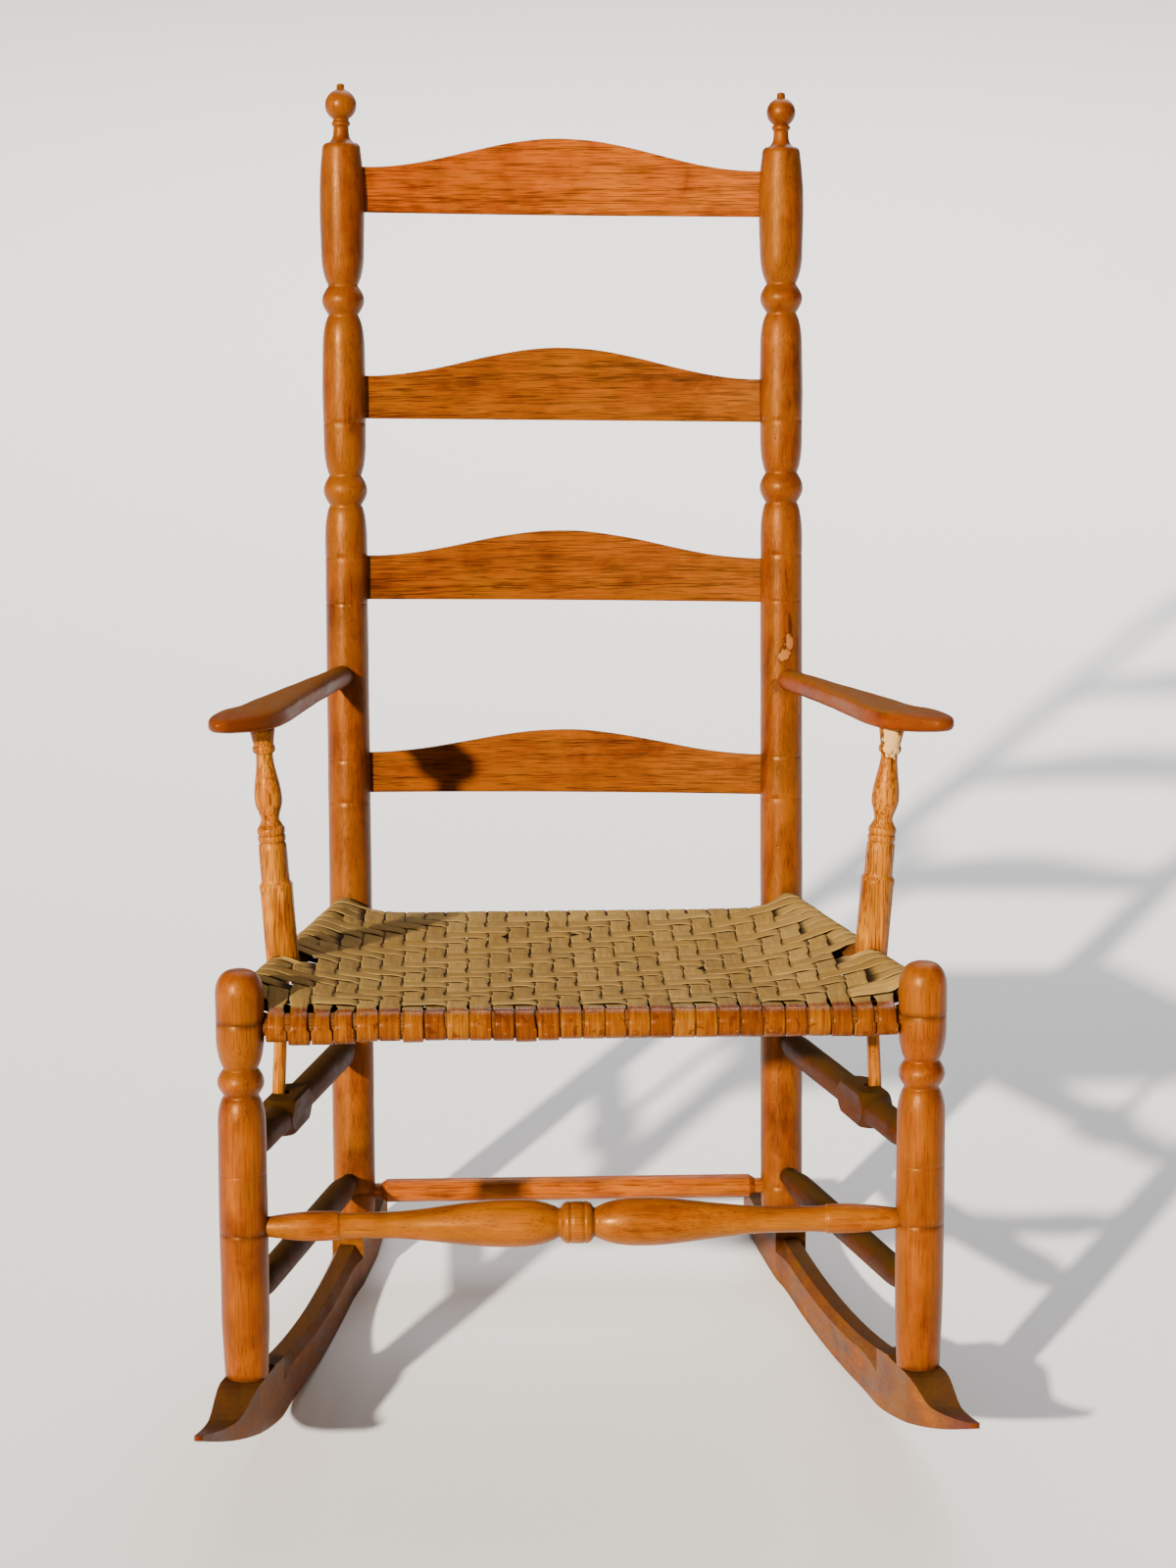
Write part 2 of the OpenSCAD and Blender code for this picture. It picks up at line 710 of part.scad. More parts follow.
// Side view of a rocker above its running edge, as [y, z]: a dipped toe, two blocks, a short heel.
function rocker_side(reach) = concat(
    [[-reach - past, below]],
    [for (t = [1.04:-0.08:0]) [toe_root - t * (reach + toe_root), toe_top(t, reach)]],
    [[toe_root, front_foot_z + 1], [pad, front_foot_z + 1], [shave_from + 1, front_foot_z - 4]],
    [[shave_to - 1, rear_foot_z - 1], [rear_foot_y - pad, rear_foot_z + 2]],
    [[rear_foot_y + pad + 2, rear_foot_z + 2], [rear_foot_y + pad + 14, run_z(rear_foot_y + pad + 14) + 34]],
    [[heel_reach - 18, run_z(heel_reach - 18) + 29], [heel_reach - 5, run_z(heel_reach) + 23]],
    [[heel_reach + past, run_z(heel_reach) + 10], [heel_reach + past, below]]
);

// Half the thickness of a rocker at y: wide at the blocks, slim between them, pointed at the toe.
function half_w(y, reach) =
    y < toe_root
        ? toe_tip_r
            + (front_block_w / 2 - toe_tip_r) * pow(max(0, 1 - (toe_root - y) / (reach + toe_root)), 0.8)
        : rocker_w / 2
            + (front_block_w - rocker_w) / 2 * (1 - smooth((y - pad - 10) / 75))
            + (rear_block_w - rocker_w) / 2 * smooth((y - shave_to + 30) / 45)
            - 4 * smooth((y - rear_foot_y - pad) / (heel_past - pad));
function plan_ys(reach) = concat(
    [for (t = [0:0.125:1]) toe_root - (1 - t) * (reach + toe_root - toe_tip_r)],
    [pad + 10, 50, 65, 80, 95, 110, shave_to - 30, shave_to - 15, shave_to],
    [rear_foot_y + pad, (rear_foot_y + pad + heel_reach) / 2, heel_reach - 8]
);
function rocker_plan(reach) = concat(
    [for (a = [210:30:330]) [0, -reach + toe_tip_r] + toe_tip_r * [cos(a), sin(a)]],
    [for (y = plan_ys(reach)) [half_w(y, reach), y]],
    [[half_w(heel_reach, reach) - 5, heel_reach - 1.5], [5 - half_w(heel_reach, reach), heel_reach - 1.5]],
    reversed([for (y = plan_ys(reach)) [-half_w(y, reach), y]])
);

// What is shaved away between the blocks: a long hollow on top, and both upper corners.
module shaving() {
    top = run_z(waist_y) + waist_h;
    w = rocker_w / 2;
    wide = front_block_w;
    slope = shave[1] / shave[0];
    translate([front_w / 2, 0, 0])
        rotate([0, 0, rocker_angle])
            intersection() {
                translate([0, waist_y / cos(rocker_angle), top + hollow_r])
                    rotate([0, 90, 0])
                        rotate_extrude($fn = wide_fn)
                            polygon([
                                [hollow_r - blank_h, -wide],
                                [hollow_r + (wide - w + shave[0]) * slope, -wide],
                                [hollow_r, -w + shave[0]],
                                [hollow_r, w - shave[0]],
                                [hollow_r + (wide - w + shave[0]) * slope, wide],
                                [hollow_r - blank_h, wide]
                            ]);
                translate([-2 * wide, shave_from / cos(rocker_angle), below])
                    cube([4 * wide, (shave_to - shave_from) / cos(rocker_angle), blank_h]);
            }
}

// All that lies above the running edge: a tight curve up to the toe and a flatter one behind.
module above_running_edge() {
    translate([0, rocker_low_y, rocker_low_z + rocker_r])
        rotate([0, 90, 0])
            intersection() {
                cylinder(r = rocker_r, h = front_w, $fn = wide_fn * 2);
                translate([0, 0, -1])
                    cube([rocker_r + 1, rocker_r, front_w + 2]);
            }
    translate([0, rocker_low_y, rocker_low_z + toe_r])
        rotate([0, 90, 0])
            intersection() {
                cylinder(r = toe_r, h = front_w, $fn = wide_fn * 2);
                translate([0, -toe_r, -1])
                    cube([toe_r + 1, toe_r + eps, front_w + 2]);
            }
}

module rocker(s) {
    color(umber)
        flipped(s)
            difference() {
                intersection() {
                    translate([front_w / 2, 0, below])
                        rotate([0, 0, rocker_angle])
                            linear_extrude(height = blank_h)
                                polygon([for (p = rocker_plan(pick(toe_reach, s))) [p.x, p.y / cos(rocker_angle)]]);
                    rotate([90, 0, 90])
                        linear_extrude(height = front_w)
                            polygon(rocker_side(pick(toe_reach, s)));
                    above_running_edge();
                }
                shaving();
                translate(front_at(RIGHT, front_foot_z))
                    foot_cut();
                on_rear_post(RIGHT)
                    foot_cut();
                // The flat worn where the empty chair stands.
                on_floor()
                    translate([0, -front_w, -under_floor])
                        cube([front_w, 2 * front_w, under_floor + worn_depth]);
            }
}

// A level seat for a post's foot, and the socket for its tenon.
module foot_cut() {
    cylinder(r = pad + 6, h = blank_h);
    translate([0, 0, -foot_tenon_l - end_gap])
        cylinder(r = foot_tenon_d / 2 + fit, h = foot_tenon_l + 5);
}

// Splint seat: a twill of flat strips, two over and two under, round all four rails.
warp_pitch = (front_w - front_d - 1) / warp_count;
warp_w = warp_pitch - splint_gap;
weft_pitch = (seat_d - front_r - rear_r - 1.4) / weft_count;
weft_w = weft_pitch - splint_gap;
// Half the distance between the middles of a strip on top and a strip underneath.
level = (splint_t + 0.9) / 2;
wrap_r = rail_r + splint_fit + splint_t / 2;
top_z = rail_z + wrap_r;
under_z = rail_z - wrap_r;
function warp_x(i) = (i - (warp_count - 1) / 2) * warp_pitch;
function weft_y(j) = front_r + 0.7 + (j + 0.5) * weft_pitch;

// Middle surface of the woven top and of the woven underside.
function seat_top(x, y) =
    top_z + seat_lift * pow(2 * x / front_w, 2) - seat_sag * (1 - pow(2 * y / seat_d - 1, 2));
function seat_under(x, y) = under_z + seat_lift * pow(2 * x / front_w, 2);

// A warp between the rear posts passes round both rails; the others end beside a side rail.
function warp_is_long(i) = abs(warp_x(i)) + warp_w / 2 + 0.5 < rear_w / 2 - rear_r;
function fits(i, j) =
    abs(warp_x(i)) + warp_w / 2 + 2.5 < side_x(weft_y(j) + weft_w / 2) - (rail_r + splint_t) / cos(side_angle);
function short_crossings(i) = max(1, len([for (j = [0:weft_count - 1]) if (fits(i, j)) j]));
function crossings(i) = warp_is_long(i) ? weft_count : short_crossings(i);
function crosses(i, j) = j < crossings(i);
function warp_on_top(i, j) = (i - j + 4 * weft_count) % 4 < 2;

// Half the strip's path over the other strips: its corner points where it changes level.
function warp_path(i, up) = [
    for (j = [0:crossings(i) - 1])
        let (
            on = warp_on_top(i, j),
            first = j == 0 || warp_on_top(i, j - 1) != on,
            last = j == crossings(i) - 1 || warp_on_top(i, j + 1) != on,
            d = on ? level : -level
        )
        for (end = [-1, 1])
            if (end < 0 ? first : last)
                let (y = weft_y(j) + end * weft_w / 2)
                [y, up ? seat_top(warp_x(i), y) + d : seat_under(warp_x(i), y) + d]
];
function weft_crossed(j) = [for (i = [0:warp_count - 1]) if (crosses(i, j)) i];
function weft_path(j, up) =
    let (list = weft_crossed(j), n = len(list))
    [
        for (m = [0:n - 1])
            let (
                i = list[m],
                on = !warp_on_top(i, j),
                first = m == 0 || warp_on_top(list[m - 1], j) == on,
                last = m == n - 1 || warp_on_top(list[m + 1], j) == on,
                d = on ? level : -level
            )
            for (end = [-1, 1])
                if (end < 0 ? first : last)
                    let (x = warp_x(i) + end * warp_w / 2)
                    [x, up ? seat_top(x, weft_y(j)) + d : seat_under(x, weft_y(j)) + d]
    ];
function shifted(path, dz) = [for (p = path) [p.x, p.y + dz]];
function bend(c, r, a0, a1, n = 10) = [for (k = [0:n]) c + r * [cos(a0 + (a1 - a0) * k / n), sin(a0 + (a1 - a0) * k / n)]];
// Angle on a circle of radius r round c at which a line from p touches it, on the side given.
function touch(c, r, p, side) =
    atan2(p.y - c.y, p.x - c.x) + side * acos(min(1, r / norm(p - c)));

// One face of a warp, d outside its middle: a path in [y, z] from the back over the top to the underside.
function warp_face(i, d) =
    let (
        over = shifted(warp_path(i, true), d),
        under = shifted(warp_path(i, false), -d),
        r = wrap_r + d
    )
    concat(
        warp_is_long(i) ? bend([seat_d, rail_z], r, -90, 90) : [],
        reversed(over),
        bend([0, rail_z], r, 90, 270),
        under
    );

module warp(i) {
    outer = warp_face(i, splint_t / 2);
    inner = warp_face(i, -splint_t / 2);
    translate([warp_x(i) - warp_w / 2, 0, 0])
        rotate([90, 0, 90])
            linear_extrude(height = warp_w)
                if (warp_is_long(i))
                    difference() {
                        polygon(outer);
                        polygon(inner);
                    }
                else
                    polygon(concat(outer, reversed(inner)));
}

// A weft passes round the slanting side rails, so its bends stand off by skew on each side of the rail's middle.
skew = weft_w / 2 * side_slope + rail_r * (1 / cos(side_angle) - 1);
function weft_end(j, d, side, over_end, under_end) =
    let (
        r = wrap_r + d,
        x = side_x(weft_y(j)),
        near = [side * (x - skew), side_rail_z],
        far = [side * (x + skew), side_rail_z],
        a_over = touch(near, r, over_end, -side),
        a_under = touch(far, r, under_end, side),
        // Both angles are turned to lie on the way round the outside of the rail.
        a0 = a_over < 0 ? a_over + 360 : a_over,
        a1 = side > 0 ? (a_under > 0 ? a_under - 360 : a_under) : (a_under < 180 ? a_under + 360 : a_under)
    )
    concat(
        bend(near, r, a0, 90, 4),
        bend(far, r, 90, a1, 10)
    );
function weft_is_open(j) = abs(weft_y(j) - support_y) < weft_w / 2 + pin_d / 2 + 0.5;
function weft_loop(j, d) =
    let (
        over = shifted(weft_path(j, true), d),
        under = shifted(weft_path(j, false), -d),
        n = len(over) - 1,
        m = len(under) - 1
    )
    concat(
        over,
        weft_end(j, d, RIGHT, over[n], under[m]),
        reversed(under),
        reversed(weft_end(j, d, LEFT, over[0], under[0]))
    );

module weft_strip(path) {
    polygon(concat(shifted(path, splint_t / 2), reversed(shifted(path, -splint_t / 2))));
}

module weft(j) {
    translate([0, weft_y(j) + weft_w / 2, 0])
        rotate([90, 0, 0])
            linear_extrude(height = weft_w)
                if (weft_is_open(j)) {
                    weft_strip(weft_path(j, true));
                    weft_strip(weft_path(j, false));
                } else
                    difference() {
                        polygon(weft_loop(j, splint_t / 2));
                        polygon(weft_loop(j, -splint_t / 2));
                    }
}

module seat_warp() {
    color(tan_splint)
        for (i = [0:warp_count - 1])
            warp(i);
}

module seat_weft() {
    color(tan_splint)
        for (j = [0:weft_count - 1])
            weft(j);
}

// The rest pose: the chair turns back about the middle of its rockers' circle and its worn flats meet z = 0.
worn_depth = rocker_r - sqrt(rocker_r * rocker_r - worn_l * worn_l / 4);
function turned_y(y, z) =
    rocker_low_y + (y - rocker_low_y) * cos(rest_lean) + (z - rocker_low_z - rocker_r) * sin(rest_lean);
front_reach = turned_y(-max(toe_reach), run_z(-max(toe_reach)));
post_lean = rest_lean + rear_lean;
rear_reach = max([
    for (s = [LEFT, RIGHT], p = rear_post_outline(s))
        turned_y(rear_foot_y, rear_foot_z) + p.y * sin(post_lean) + p.x * cos(post_lean)
]);
middle_y = (front_reach + rear_reach) / 2;
function side_reach(s) = max(concat(
    [for (u = arm_turns, p = arm_ring(s, u)) p.x],
    [
        for (p = rocker_plan(pick(toe_reach, s)))
            front_w / 2 + p.x * cos(rocker_angle) - p.y * tan(rocker_angle)
    ]
));
middle_x = (side_reach(RIGHT) - side_reach(LEFT)) / 2;

module at_rest() {
    translate([-middle_x, rocker_low_y - middle_y, rocker_r - worn_depth])
        rotate([-rest_lean, 0, 0])
            translate([0, -rocker_low_y, -rocker_low_z - rocker_r])
                children();
}

// Undoes the rest pose's turn, so that children drawn on the floor meet the level chair.
module on_floor() {
    translate([0, rocker_low_y, rocker_low_z + rocker_r])
        rotate([rest_lean, 0, 0])
            translate([0, 0, -rocker_r])
                children();
}

at_rest() rear_post(LEFT);  // rear_post_left
at_rest() rear_post(RIGHT);  // rear_post_right
at_rest() front_post(LEFT);  // front_post_left
at_rest() front_post(RIGHT);  // front_post_right
for (k = [0:3])
    at_rest() slat(k);
at_rest() seat_rail_front();
at_rest() seat_rail_rear();
at_rest() seat_rail_side(LEFT);  // seat_rail_left
at_rest() seat_rail_side(RIGHT);  // seat_rail_right
at_rest() front_stretcher();
at_rest() rear_stretcher();
at_rest() side_stretcher_upper(LEFT);  // side_stretcher_upper_left
at_rest() side_stretcher_upper(RIGHT);  // side_stretcher_upper_right
at_rest() side_stretcher_lower(LEFT);  // side_stretcher_lower_left
at_rest() side_stretcher_lower(RIGHT);  // side_stretcher_lower_right
at_rest() arm(LEFT);  // arm_left
at_rest() arm(RIGHT);  // arm_right
at_rest() arm_support(LEFT);  // arm_support_left
at_rest() arm_support(RIGHT);  // arm_support_right
at_rest() rocker(LEFT);  // rocker_left
at_rest() rocker(RIGHT);  // rocker_right
at_rest() seat_warp();
at_rest() seat_weft();
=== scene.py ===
import math
import random
import bmesh
import bpy
from mathutils import Matrix, Vector, noise


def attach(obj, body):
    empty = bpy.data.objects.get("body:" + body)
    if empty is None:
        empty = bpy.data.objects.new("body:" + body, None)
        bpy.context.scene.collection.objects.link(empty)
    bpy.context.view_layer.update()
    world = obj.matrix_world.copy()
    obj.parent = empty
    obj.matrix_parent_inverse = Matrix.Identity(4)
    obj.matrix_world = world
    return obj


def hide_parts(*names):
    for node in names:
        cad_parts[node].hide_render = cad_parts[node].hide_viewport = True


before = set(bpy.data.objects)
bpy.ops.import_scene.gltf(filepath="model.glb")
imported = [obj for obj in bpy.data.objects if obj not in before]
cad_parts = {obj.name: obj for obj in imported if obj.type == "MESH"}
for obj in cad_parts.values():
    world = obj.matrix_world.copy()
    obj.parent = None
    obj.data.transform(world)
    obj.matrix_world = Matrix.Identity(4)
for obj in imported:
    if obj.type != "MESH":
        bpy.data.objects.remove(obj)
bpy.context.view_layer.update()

# The chair is drawn level, in millimetres, with +Y to the back and the front posts' line at Y 0.
# At rest it has rolled back on its rockers, about the middle of their running edge's circle.
LEAN = math.radians(10.3)
ROLL_CENTRE = Vector((0, 105, 1102.5))
ROLL_CENTRE_AT_REST = Vector((-1.04537, 44.4577, 1099.6927))
ROLL_BACK = Matrix.Rotation(-LEAN, 3, "X")


def at_rest(point):
    """A point of the level chair, in millimetres, as a point of the resting chair, in metres."""
    return (ROLL_CENTRE_AT_REST + ROLL_BACK @ (Vector(point) - ROLL_CENTRE)) * 0.001


# Frame sizes in millimetres, the same as in the part's source.
FRONT_W, REAR_W, SEAT_D = 560, 398, 387
REAR_LEAN = math.radians(4)
RAIL_Z, SIDE_RAIL_Z = 355, 374
FRONT_R, REAR_R, RAIL_R = 20.2, 19.6, 11.5
FRONT_FOOT_Z, FRONT_TOP_Z, FRONT_RING_Z = 58, 404, 310
REAR_FOOT_Z, LOW_RING_Z, HIGH_RING_Z, REAR_AIM_Z = 73, 755, 926, 1100
SIDE_SLOPE = (FRONT_W - REAR_W) / 2 / SEAT_D
SUPPORT_Y = 143
STRETCHER_Z, PIN_END_Z = 186, 243
# Heights of the lines that the turner scribed round the posts, to mark where the sockets go.
FRONT_SCRIBES = (105, 182.7, 232.8, 360.3)
REAR_SCRIBES = (108, 470.8, 509.5, 652.2, 694.2, 815.9, 1000.8)
LEFT, RIGHT = -1, 1


def pick(pair, side):
    """The left or the right one of a pair."""
    return pair[0] if side == LEFT else pair[1]


def side_name(side):
    """The word for a side, as the nodes' names have it."""
    return pick(("left", "right"), side)


def side_x(y):
    """How far out the right side rail's middle is, that far behind the front posts."""
    return FRONT_W / 2 - y * SIDE_SLOPE


def rear_at(side, z):
    """A rear post's middle at a height; side 0 is midway between the posts."""
    return Vector((side * REAR_W / 2, SEAT_D + (z - RAIL_Z) * math.tan(REAR_LEAN), z))


def eased(t):
    """From 0 to 1 with a soft start and a soft end, and held there beyond."""
    t = min(1.0, max(0.0, t))
    return t * t * (3 - 2 * t)


# ---- Materials

def hexed(code):
    """An sRGB hex colour as linear red, green, blue and alpha."""
    parts = [int(code[k:k + 2], 16) / 255 for k in (1, 3, 5)]
    return [c / 12.92 if c <= 0.04045 else ((c + 0.055) / 1.055) ** 2.4 for c in parts] + [1]


def add(tree, kind, inputs=None, out=0, stops=(), **settings):
    """Adds a node with its settings, links and ramp stops, and gives one of its outputs. An input's
    value is a number, an sRGB code or another node's output; stops are (place, code or grey)."""
    made = tree.nodes.new("ShaderNode" + kind)
    for key, value in settings.items():
        setattr(made, key, value)
    for key, value in (inputs or {}).items():
        if isinstance(value, bpy.types.NodeSocket):
            tree.links.new(value, made.inputs[key])
        else:
            made.inputs[key].default_value = hexed(value) if isinstance(value, str) else value
    if stops:
        bar = made.color_ramp
        bar.elements.remove(bar.elements[1])
        for number, (place, shade) in enumerate(stops):
            stop = bar.elements.new(place) if number else bar.elements[0]
            stop.position = place
            stop.color = hexed(shade) if isinstance(shade, str) else (shade, shade, shade, 1)
    return made.outputs[out] if made.outputs else made


def bare_finish(name):
    """A new material and its node tree, with nothing in it yet."""
    finish = bpy.data.materials.new(name)
    finish.use_nodes = True
    finish.node_tree.nodes.clear()
    return finish, finish.node_tree


def mixture(tree, *parts):
    """The sum of (value, share) pairs."""
    total = 0.0
    for value, share in parts:
        total = add(tree, "Math", {0: value, 1: share, 2: total}, operation="MULTIPLY_ADD")
    return total


def level_chair(tree):
    """The surface point in the level chair's millimetres, so that patterns keep real sizes."""
    move = ROLL_CENTRE - Matrix.Rotation(LEAN, 3, "X") @ ROLL_CENTRE_AT_REST
    place = add(tree, "TexCoord", out="Object")
    return add(tree, "Mapping", {
        "Vector": place, "Location": move, "Rotation": (LEAN, 0, 0), "Scale": (1000, 1000, 1000),
    })


def mottle(tree, place, width, long=(1, 1, 1), detail=3.0, warp=0.0):
    """Blotches about that many millimetres wide, drawn out along X, Y and Z that many times."""
    size = [1 / width / far for far in long]
    scaled = add(tree, "Mapping", {"Vector": place, "Scale": size})
    return add(tree, "TexNoise", {
        "Vector": scaled, "Scale": 1.0, "Detail": detail, "Roughness": 0.6, "Distortion": warp,
    })


def grain(axis, length):
    """How far a pattern is drawn out along X, Y and Z: fully along the axis in capitals, and a
    third as far along one in small letters, the way that a bent board curves."""
    part = max(1, length / 3)
    return [length if letter in axis else part if letter.lower() in axis else 1 for letter in "XYZ"]


# Widths of the wood's patterns in millimetres: pooled varnish, its soft clouds, growth rings, places
# that have yellowed, and the space between knocks.
BLOTCH, CLOUD, GROWTH_RING, YELLOWED, KNOCK_GAP = 46, 12, 1.9, 31, 15
SHELLAC_IOR = 1.45
KNOCK_BROWN, GRIME_AND_SHADE, SCRIBE_DIRT, CRACKED_VARNISH = "#2A0E03", "#1E0B03", "#1C0802", "#2E0F03"
# The colour ramp that draws the scribe lines runs over this height, in millimetres.
RAMP_TALL = 1200
# A scribe line wavers up and down by about half of this, in millimetres.
SCRIBE_WANDER = 0.9
# A scribe line across its height: where it starts, is deepest, and ends, in millimetres.
SCRIBE_CUT = ((-0.3, 0.0), (0.25, 1.0), (0.65, 1.0), (1.2, 0.0))
# Over how many millimetres the hands' dark polish fades out.
HANDLED_FADE = 60


def old_wood(name, tones, axis, pores, gloss, scribes=(), worn=(), dust_and_shade=None, handled=None, figure=1.0):
    """Old shellac over a hand-made stick. tones are its deep, middle, light and yellow colours; the
    grain runs along axis; pores are (width in mm, share of the surface, strength). scribes are the
    heights of lines cut round it, worn is a list of (point, radius, tallness, colour) where the
    varnish is gone, dusty is the colour of faces that look up, as dust and painted shade, and
    handled is (y, colour) where hands have darkened and polished all that is ahead of y. gloss is
    the roughness of the varnish, and figure says how strongly the growth rings show."""
    finish, tree = bare_finish(name)
    place = level_chair(tree)
    deep, middle, light, yellow = tones
    # Varnish has pooled in blotches 30 to 60 mm across; growth rings show as streaks about 2 mm wide.
    blotch = mottle(tree, place, BLOTCH, warp=0.5)
    cloud = mottle(tree, place, CLOUD, grain(axis, 5), 4, 0.25)
    streak = mottle(tree, place, GROWTH_RING, grain(axis, 45), 4, 0.12)
    rings = 0.24 * figure
    mixed = mixture(tree, (blotch, 0.44), (cloud, 0.56 - rings), (streak, rings))
    colour = add(tree, "ValToRGB", {0: mixed}, stops=[(0.37, deep), (0.5, middle), (0.64, light)])
    warm = mottle(tree, place, YELLOWED, grain(axis, 3), 3, 0.8)
    warm = add(tree, "MapRange", {0: warm, 1: 0.44, 2: 0.66, 3: 0.0, 4: 0.7})
    colour = add(tree, "Mix", {0: warm, 6: colour, 7: yellow}, 2, data_type="RGBA")
    # Open pores: dark dashes that lie close in some growth rings and far apart in others.
    width, share, strength = pores
    dash = mottle(tree, place, width, grain(axis, 55), 1)
    ring = mottle(tree, place, width * 7, grain(axis, 90), 1)
    pore = mixture(tree, (dash, 0.75), (ring, 0.25))
    pore = add(tree, "MapRange", {0: pore, 1: share, 2: share + 0.05, 3: strength, 4: 0.0})
    colour = add(tree, "Mix", {0: pore, 6: colour, 7: deep}, 2, data_type="RGBA", blend_type="MULTIPLY")
    # Knocks and fly specks, 1 to 2 mm, far apart.
    dot = add(tree, "TexVoronoi", {"Vector": place, "Scale": 1 / KNOCK_GAP}, "Distance")
    dot = add(tree, "MapRange", {0: dot, 1: 0.04, 2: 0.085, 3: 0.75, 4: 0.0})
    some = add(tree, "MapRange", {0: mottle(tree, place, KNOCK_GAP * 2, detail=1), 1: 0.48, 2: 0.55})
    dot = add(tree, "Math", {0: dot, 1: some}, operation="MULTIPLY")
    colour = add(tree, "Mix", {0: dot, 6: colour, 7: KNOCK_BROWN}, 2, data_type="RGBA")
    rough = mixture(tree, (cloud, 0.6), (blotch, 0.4))
    rough = add(tree, "MapRange", {0: rough, 1: 0.4, 2: 0.6, 3: gloss - 0.12, 4: gloss + 0.06})
    if dust_and_shade:
        # Faces that look up take the given colour and dull over: dust and hand grease, and painted shade
        # where the light only grazes them.
        up = add(tree, "SeparateXYZ", {0: add(tree, "NewGeometry", out="Normal")}, 2)
        up = mixture(tree, (up, 1.0), (cloud, 0.5))
        dull = add(tree, "MapRange", {0: up, 1: 0.62, 2: 1.1, 3: 0.0, 4: 0.72})
        colour = add(tree, "Mix", {0: dull, 6: colour, 7: dust_and_shade}, 2, data_type="RGBA")
        rough = mixture(tree, (rough, 1.0), (dull, 0.5))
    if handled:
        back = add(tree, "SeparateXYZ", {0: place}, 1)
        ahead = mixture(tree, (back, -1 / HANDLED_FADE), (cloud, 0.5))
        start = 0.1 - handled[0] / HANDLED_FADE
        grip = add(tree, "MapRange", {0: ahead, 1: start, 2: start + 0.35, 3: 0.0, 4: 0.9})
        colour = add(tree, "Mix", {0: grip, 6: colour, 7: handled[1]}, 2, data_type="RGBA")
        rough = mixture(tree, (rough, 1.0), (grip, -0.12))
    # Within about 11 mm of the next piece, in joints and recesses, the colour is darker: grime, and
    # painted shade.
    corner = add(tree, "AmbientOcclusion", {"Distance": 0.011}, "AO", samples=2)
    grime_and_shade = mixture(tree, (corner, 1.0), (cloud, 0.5))
    grime_and_shade = add(tree, "MapRange", {0: grime_and_shade, 1: 0.5, 2: 1.05, 3: 0.7, 4: 0.0})
    colour = add(tree, "Mix", {0: grime_and_shade, 6: colour, 7: GRIME_AND_SHADE}, 2, data_type="RGBA")
    rough = mixture(tree, (rough, 1.0), (grime_and_shade, 0.25))
    height = mixture(tree, (streak, 0.3), (cloud, 0.8), (pore, -0.35), (dot, -0.7))
    if scribes:
        # Scribe lines: dark cuts about 1 mm wide, worn faint in places.
        high = mixture(tree, (add(tree, "SeparateXYZ", {0: place}, 2), 1 / RAMP_TALL),
                       (mottle(tree, place, 30, detail=1), SCRIBE_WANDER / RAMP_TALL))
        stops = [(0.0, 0.0)]
        for z in scribes:
            stops += [((z + edge) / RAMP_TALL, level) for edge, level in SCRIBE_CUT]
        faint = mottle(tree, place, 12, detail=2)
        faint = add(tree, "MapRange", {0: faint, 1: 0.4, 2: 0.54, 3: 0.3, 4: 0.75})
        line = add(tree, "ValToRGB", {0: high}, stops=stops)
        line = add(tree, "Math", {0: line, 1: faint}, operation="MULTIPLY")
        colour = add(tree, "Mix", {0: line, 6: colour, 7: SCRIBE_DIRT}, 2, data_type="RGBA")
        height = mixture(tree, (height, 1.0), (line, -0.4))
    for point, radius, tall, code in worn:
        # A worn patch: bare pale wood inside a dark broken edge of cracked varnish.
        off = add(tree, "VectorMath", {0: place, 1: point}, operation="SUBTRACT")
        size = (1 / radius, 1 / radius, 1 / radius / tall)
        off = add(tree, "VectorMath", {0: off, 1: size}, operation="MULTIPLY")
        away = add(tree, "VectorMath", {0: off}, "Value", operation="LENGTH")
        ragged = mixture(tree, (away, 0.4), (mottle(tree, place, 7, grain("Z", 1.8), 4), 0.9))
        rim = add(tree, "ValToRGB", {0: ragged}, stops=[(0.72, 0.0), (0.8, 0.85), (0.9, 0.0)])
        bare = add(tree, "MapRange", {0: ragged, 1: 0.74, 2: 0.79, 3: 0.92, 4: 0.0})
        colour = add(tree, "Mix", {0: rim, 6: colour, 7: CRACKED_VARNISH}, 2, data_type="RGBA")
        colour = add(tree, "Mix", {0: bare, 6: colour, 7: code}, 2, data_type="RGBA")
        rough = add(tree, "Math", {0: rough, 1: mixture(tree, (bare, 0.7))}, operation="MAXIMUM")
        height = mixture(tree, (height, 1.0), (bare, -0.6))
    # Scraped and shaved by hand: shallow flats, open pores and sunken lines.
    relief = add(tree, "Bump", {"Strength": 0.45, "Distance": 0.0008, "Height": height})
    # Varnish that has gone matt reflects less, and less again under dust; what it does is amber.
    shine = (0.76 if dust_and_shade else 0.88) - gloss
    body = add(tree, "BsdfPrincipled", {
        "Base Color": colour, "Roughness": rough, "IOR": SHELLAC_IOR, "Normal": relief,
        "Specular IOR Level": shine, "Specular Tint": "#FFB868",
    })
    add(tree, "OutputMaterial", {"Surface": body})
    return finish


# Sugar maple, turned, under two centuries of shellac: honey amber, blotchy, with fine faint pores.
# Each wood's four colours are deep, middle, light and yellowed.
MAPLE = ("#451801", "#672D01", "#804003", "#733F03")
# The front posts and stretcher stand in the light: their paler colours are partly painted light,
# and partly varnish that has yellowed.
PALE_MAPLE = ("#501C01", "#703101", "#8B4501", "#743E01")
# Ash, riven and bent: the same varnish, but its open rings give long dark dashes.
ASH = ("#612101", "#8B3C01", "#984902", "#904A02")
